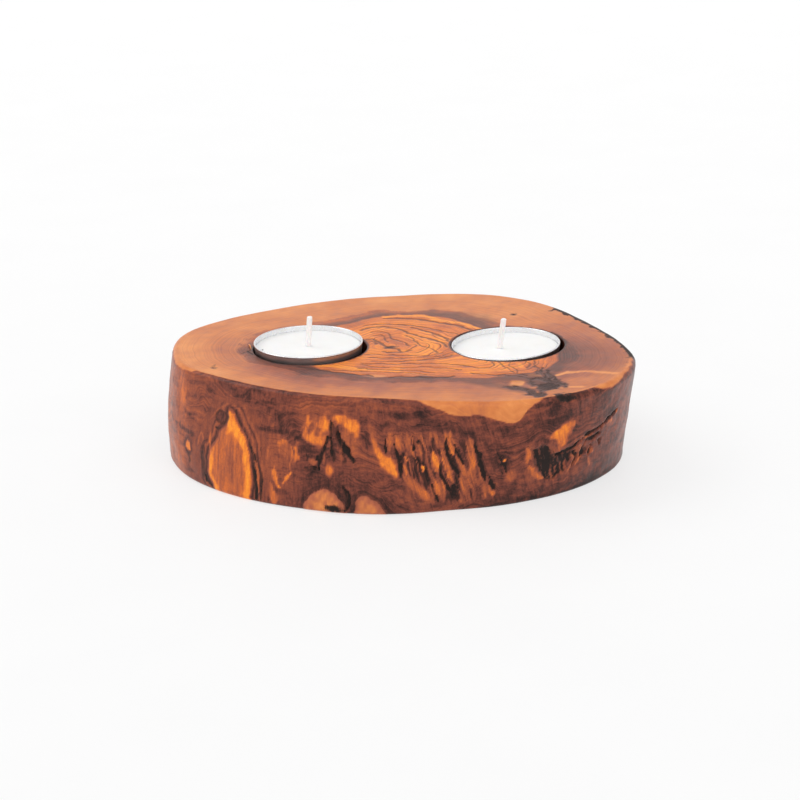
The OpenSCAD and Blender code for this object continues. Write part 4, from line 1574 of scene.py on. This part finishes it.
def wax_piece(side):
    """The wax: a slightly sunken top that climbs at the wick and the wall, and a moulded underside."""
    offset = WICK_OFFSETS[side]
    hole = 1.05
    edge = wall_line(WAX_LEVEL) - SHEET / 2 - 0.1
    foot = CUP_BASE - SHEET - 0.15
    radii = list(np.linspace(hole, edge - 1.6, 34)) + list(np.linspace(edge - 1.4, edge, 9))
    rng = np.random.default_rng({"left": 5, "right": 6}[side])
    phase = rng.uniform(0, 2 * math.pi, 4)

    turn = full_turn(TURNS)
    rings = []
    for radius in radii:
        # Rings slide from the wick's place to the cup's middle as they widen.
        share = (radius - hole) / (edge - hole)
        centre = offset * (1 - share)
        x = centre + radius * np.cos(turn)
        y = radius * np.sin(turn)
        climb = 0.42 * math.exp(-((radius - hole) / 0.5) ** 1.2) + 0.3 * math.exp(-((edge - radius) / 0.45))
        sag = -0.14 * math.sin(math.pi * share) ** 2
        waves = np.sin(x / 3 + phase[0]) + np.sin(y / 2.6 + phase[1]) + np.sin((x + y) / 4.4 + phase[2])
        ripple = 0.02 * waves
        rings.append(np.c_[x, y, WAX_LEVEL - 0.1 + climb + sag + ripple * math.sin(math.pi * share)])
    side_heights = [WAX_LEVEL - 0.4, WAX_LEVEL - 3, WAX_LEVEL * 0.5, 1.2, 0.8]
    for z in side_heights:
        radius = min(edge, foot + (edge - foot) * z / WAX_LEVEL)
        rings.append(circle(radius, turn, z))
    under = PANEL_RISE + SHEET + 0.02
    recess = 0.4
    tab_room = 6.95
    for radius, z in ((foot - 0.4, 0.45), (PANEL + 0.9, 0.3), (PANEL, under), (tab_room + 2.4, under)):
        rings.append(circle(radius, turn, z))
    for radius, z in (
        (tab_room, under), (tab_room, under + recess), (1.65, under + recess),
        (1.55, under + recess + 4), (hole, under + recess + 4.1)
    ):
        rings.append(circle(radius, turn, z) + (offset, 0, 0))
    points = np.vstack(rings)
    faces = [face[::-1] for face in closed_faces(len(rings))]
    return make_piece(side, "tealight_wax", points, faces, 50)


WICK_TURNS = 40
WICK_ROWS = 230


def wick_piece(side):
    """The braided wick: strands wound both ways round it, leaning above the wax."""
    lean = math.radians(LEANS[side])
    offset = WICK_OFFSETS[side]
    foot = PANEL_RISE + SHEET + 0.1
    bend = WAX_LEVEL + 0.3
    turn = np.linspace(0, 2 * math.pi, WICK_TURNS, endpoint=False)
    rows = np.linspace(foot, WICK_TOP, WICK_ROWS)
    points = []
    for z in rows:
        above = max(0.0, z - bend)
        bow = math.tan(lean) * (above - 0.6 * (1 - math.exp(-above / 0.6)))
        centre = offset + bow
        strands = np.abs(np.sin(1.5 * turn + 1.7 * z)) * np.abs(np.sin(1.5 * turn - 1.7 * z + 0.6))
        thick = 0.95 + 0.04 * strands
        if z < bend:
            thick = np.minimum(thick, 0.93)
        end = max(0.0, 1 - (WICK_TOP - z) / 0.45)
        thick = thick * math.sqrt(max(0.0, 1 - 0.85 * end ** 2))
        shear = -math.sin(lean) * thick * np.cos(turn) * (above > 0) * min(1.0, (WICK_TOP - z) / 1.5)
        points.append(np.c_[centre + thick * np.cos(turn), thick * np.sin(turn), z + shear * 0.6])
    size = (0, WICK_TURNS, WICK_ROWS)
    faces = ring_faces(*size) + end_caps(*size)
    return make_piece(side, "tealight_wick", np.vstack(points), faces, 70)


def tab_piece(side):
    """The stamped disc and crimped neck that hold the wick."""
    offset = WICK_OFFSETS[side]
    base = PANEL_RISE + SHEET
    thick = 0.3
    neck = 4.15
    bore = 1.02

    def crimp(turn, radius, z):
        on_neck = smooth(base + 0.6, base + 1.6, np.full(TURNS, float(z))) * (radius < 2)
        return -0.1 * on_neck * np.cos(2 * turn) ** 8

    outer = arc((6.6, base + thick / 2), thick / 2, -90, 90, 6)
    outer += [(r, base + thick + 0.1 * math.exp(-((r - 4.4) / 0.5) ** 2))
              for r in np.linspace(6.3, 2.3, 12)]
    outer += arc((2.0, base + thick + 0.6), 0.6, -90, -180, 5)
    outer += [(1.4, z) for z in np.linspace(base + 1.2, base + neck - 0.1, 10)]
    outer += [(1.34, base + neck), (1.12, base + neck)]
    outer += [(bore + 0.1, z) for z in np.linspace(base + neck - 0.15, base + 0.1, 8)]
    outer += [(1.4, base)]
    points, faces = lathe(outer, crimp)
    points[:, 0] += offset
    return make_piece(side, "tealight_wick_tab", points, faces, 40)


def make_piece(side, name, points, faces, sharp):
    """One piece of a tealight, from its own millimetres."""
    return make_mesh(f"{side}_{name}", placed(side, points), faces, sharp)


# ---------------------------------------------------------------- building it all

def give(piece, material, body, nodes):
    """Gives a piece its material, says which body it rides on, and hides the CAD nodes that it stands for.
    """
    piece.data.materials.append(material)
    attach(piece, body)
    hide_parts(*nodes)


slab_points, slab_faces, slab_paints, slab_end, slab_bored = build_slab()
slab = make_mesh("live_edge_slab", slab_points, slab_faces, 55)
joined = {name: np.concatenate([getattr(p, name) for p in slab_paints])
          for name in ("tone", "pale", "stain", "char", "line", "ring", "contour")}
store(slab, "tint", joined["tone"], joined["pale"], joined["stain"])
store(slab, "marks", joined["char"], joined["line"], joined["ring"])
store(slab, "fibre", *spiral(slab_points, per_mm=0.0043))
store(slab, "kind", slab_end, slab_bored, joined["contour"])
give(slab, wood_material(), "slab", ["block"])

speck_place = tuple(PLACES["left"][:3, 3] + (-16.0, -2.5, WAX_LEVEL))
aluminium = aluminium_material()
wax = wax_material(speck_place)
wick = wick_material()
tab = tab_material()
for side in ("left", "right"):
    give(cup_piece(side), aluminium, side + "_tealight", [side + "_cup"])
    give(wax_piece(side), wax, side + "_candle", [side + "_wax"])
    give(wick_piece(side), wick, side + "_candle", [side + "_wick"])
    give(tab_piece(side), tab, side + "_candle", [side + "_wick_tab"])


# ---------------------------------------------------------------- stage, light, camera

def make_floor():
    """A flat floor that curves up into a low wall all round, as a studio sweep does."""
    turns = np.radians(np.linspace(0, 90, 10))
    profile = [(0.3, 0.0), (1.0, 0.0), (2.4, 0.0)]
    profile += [(2.4 + 0.5 * math.sin(t), 0.5 - 0.5 * math.cos(t)) for t in turns]
    profile += [(2.9, 1.3)]
    size = (0, 96, len(profile))
    points = np.vstack([circle(r, full_turn(size[1]), z) for r, z in profile])
    faces = [face[::-1] for face in ring_faces(*size) + end_caps(*size)[:1]]
    mesh = bpy.data.meshes.new("floor")
    mesh.from_pydata(points.tolist(), [], faces)
    floor = bpy.data.objects.new("floor", mesh)
    mesh.materials.append(floor_material())
    bpy.context.scene.collection.objects.link(floor)


def sun_light(name, source, spread, strength):
    """Even light from one side, as from a large soft box; spread in degrees."""
    light = bpy.data.lights.new(name, "SUN")
    light.energy = strength
    light.angle = math.radians(spread)
    lamp = bpy.data.objects.new(name, light)
    lamp.rotation_euler = (-Vector(source)).to_track_quat("-Z", "Y").to_euler()
    bpy.context.scene.collection.objects.link(lamp)


def make_world(strength):
    """White light from everywhere."""
    world = bpy.data.worlds.new("studio")
    world.use_nodes = True
    background = world.node_tree.nodes["Background"]
    background.inputs["Color"].default_value = (1, 1, 1, 1)
    background.inputs["Strength"].default_value = strength
    bpy.context.scene.world = world


def make_camera():
    """A long lens from the front, a little above, with the small roll of the photograph."""
    tilt = 0.32677
    roll = 0.01874
    away = 0.78679
    target = Vector((0.00017, -0.05999, 0.039))
    forward = Vector((0, math.cos(tilt), -math.sin(tilt)))
    right = Vector((1, 0, 0))
    up = right.cross(forward)
    turned_right = right * math.cos(roll) - up * math.sin(roll)
    turned_up_axis = right * math.sin(roll) + up * math.cos(roll)
    data = bpy.data.cameras.new("camera")
    data.sensor_width = 36
    data.lens = 108
    data.clip_start = 0.01
    camera = bpy.data.objects.new("camera", data)
    turn = Matrix((turned_right, turned_up_axis, -forward)).transposed().to_4x4()
    camera.matrix_world = Matrix.Translation(target - forward * away) @ turn
    bpy.context.scene.collection.objects.link(camera)
    bpy.context.scene.camera = camera


make_floor()
make_world(strength=0.68)
sun_light("left_box", (-0.75, 0.15, 0.85), spread=40, strength=0.68)
sun_light("front_box", (0.15, -0.8, 0.9), spread=70, strength=0.86)
make_camera()
bpy.context.scene.view_settings.view_transform = "Standard"
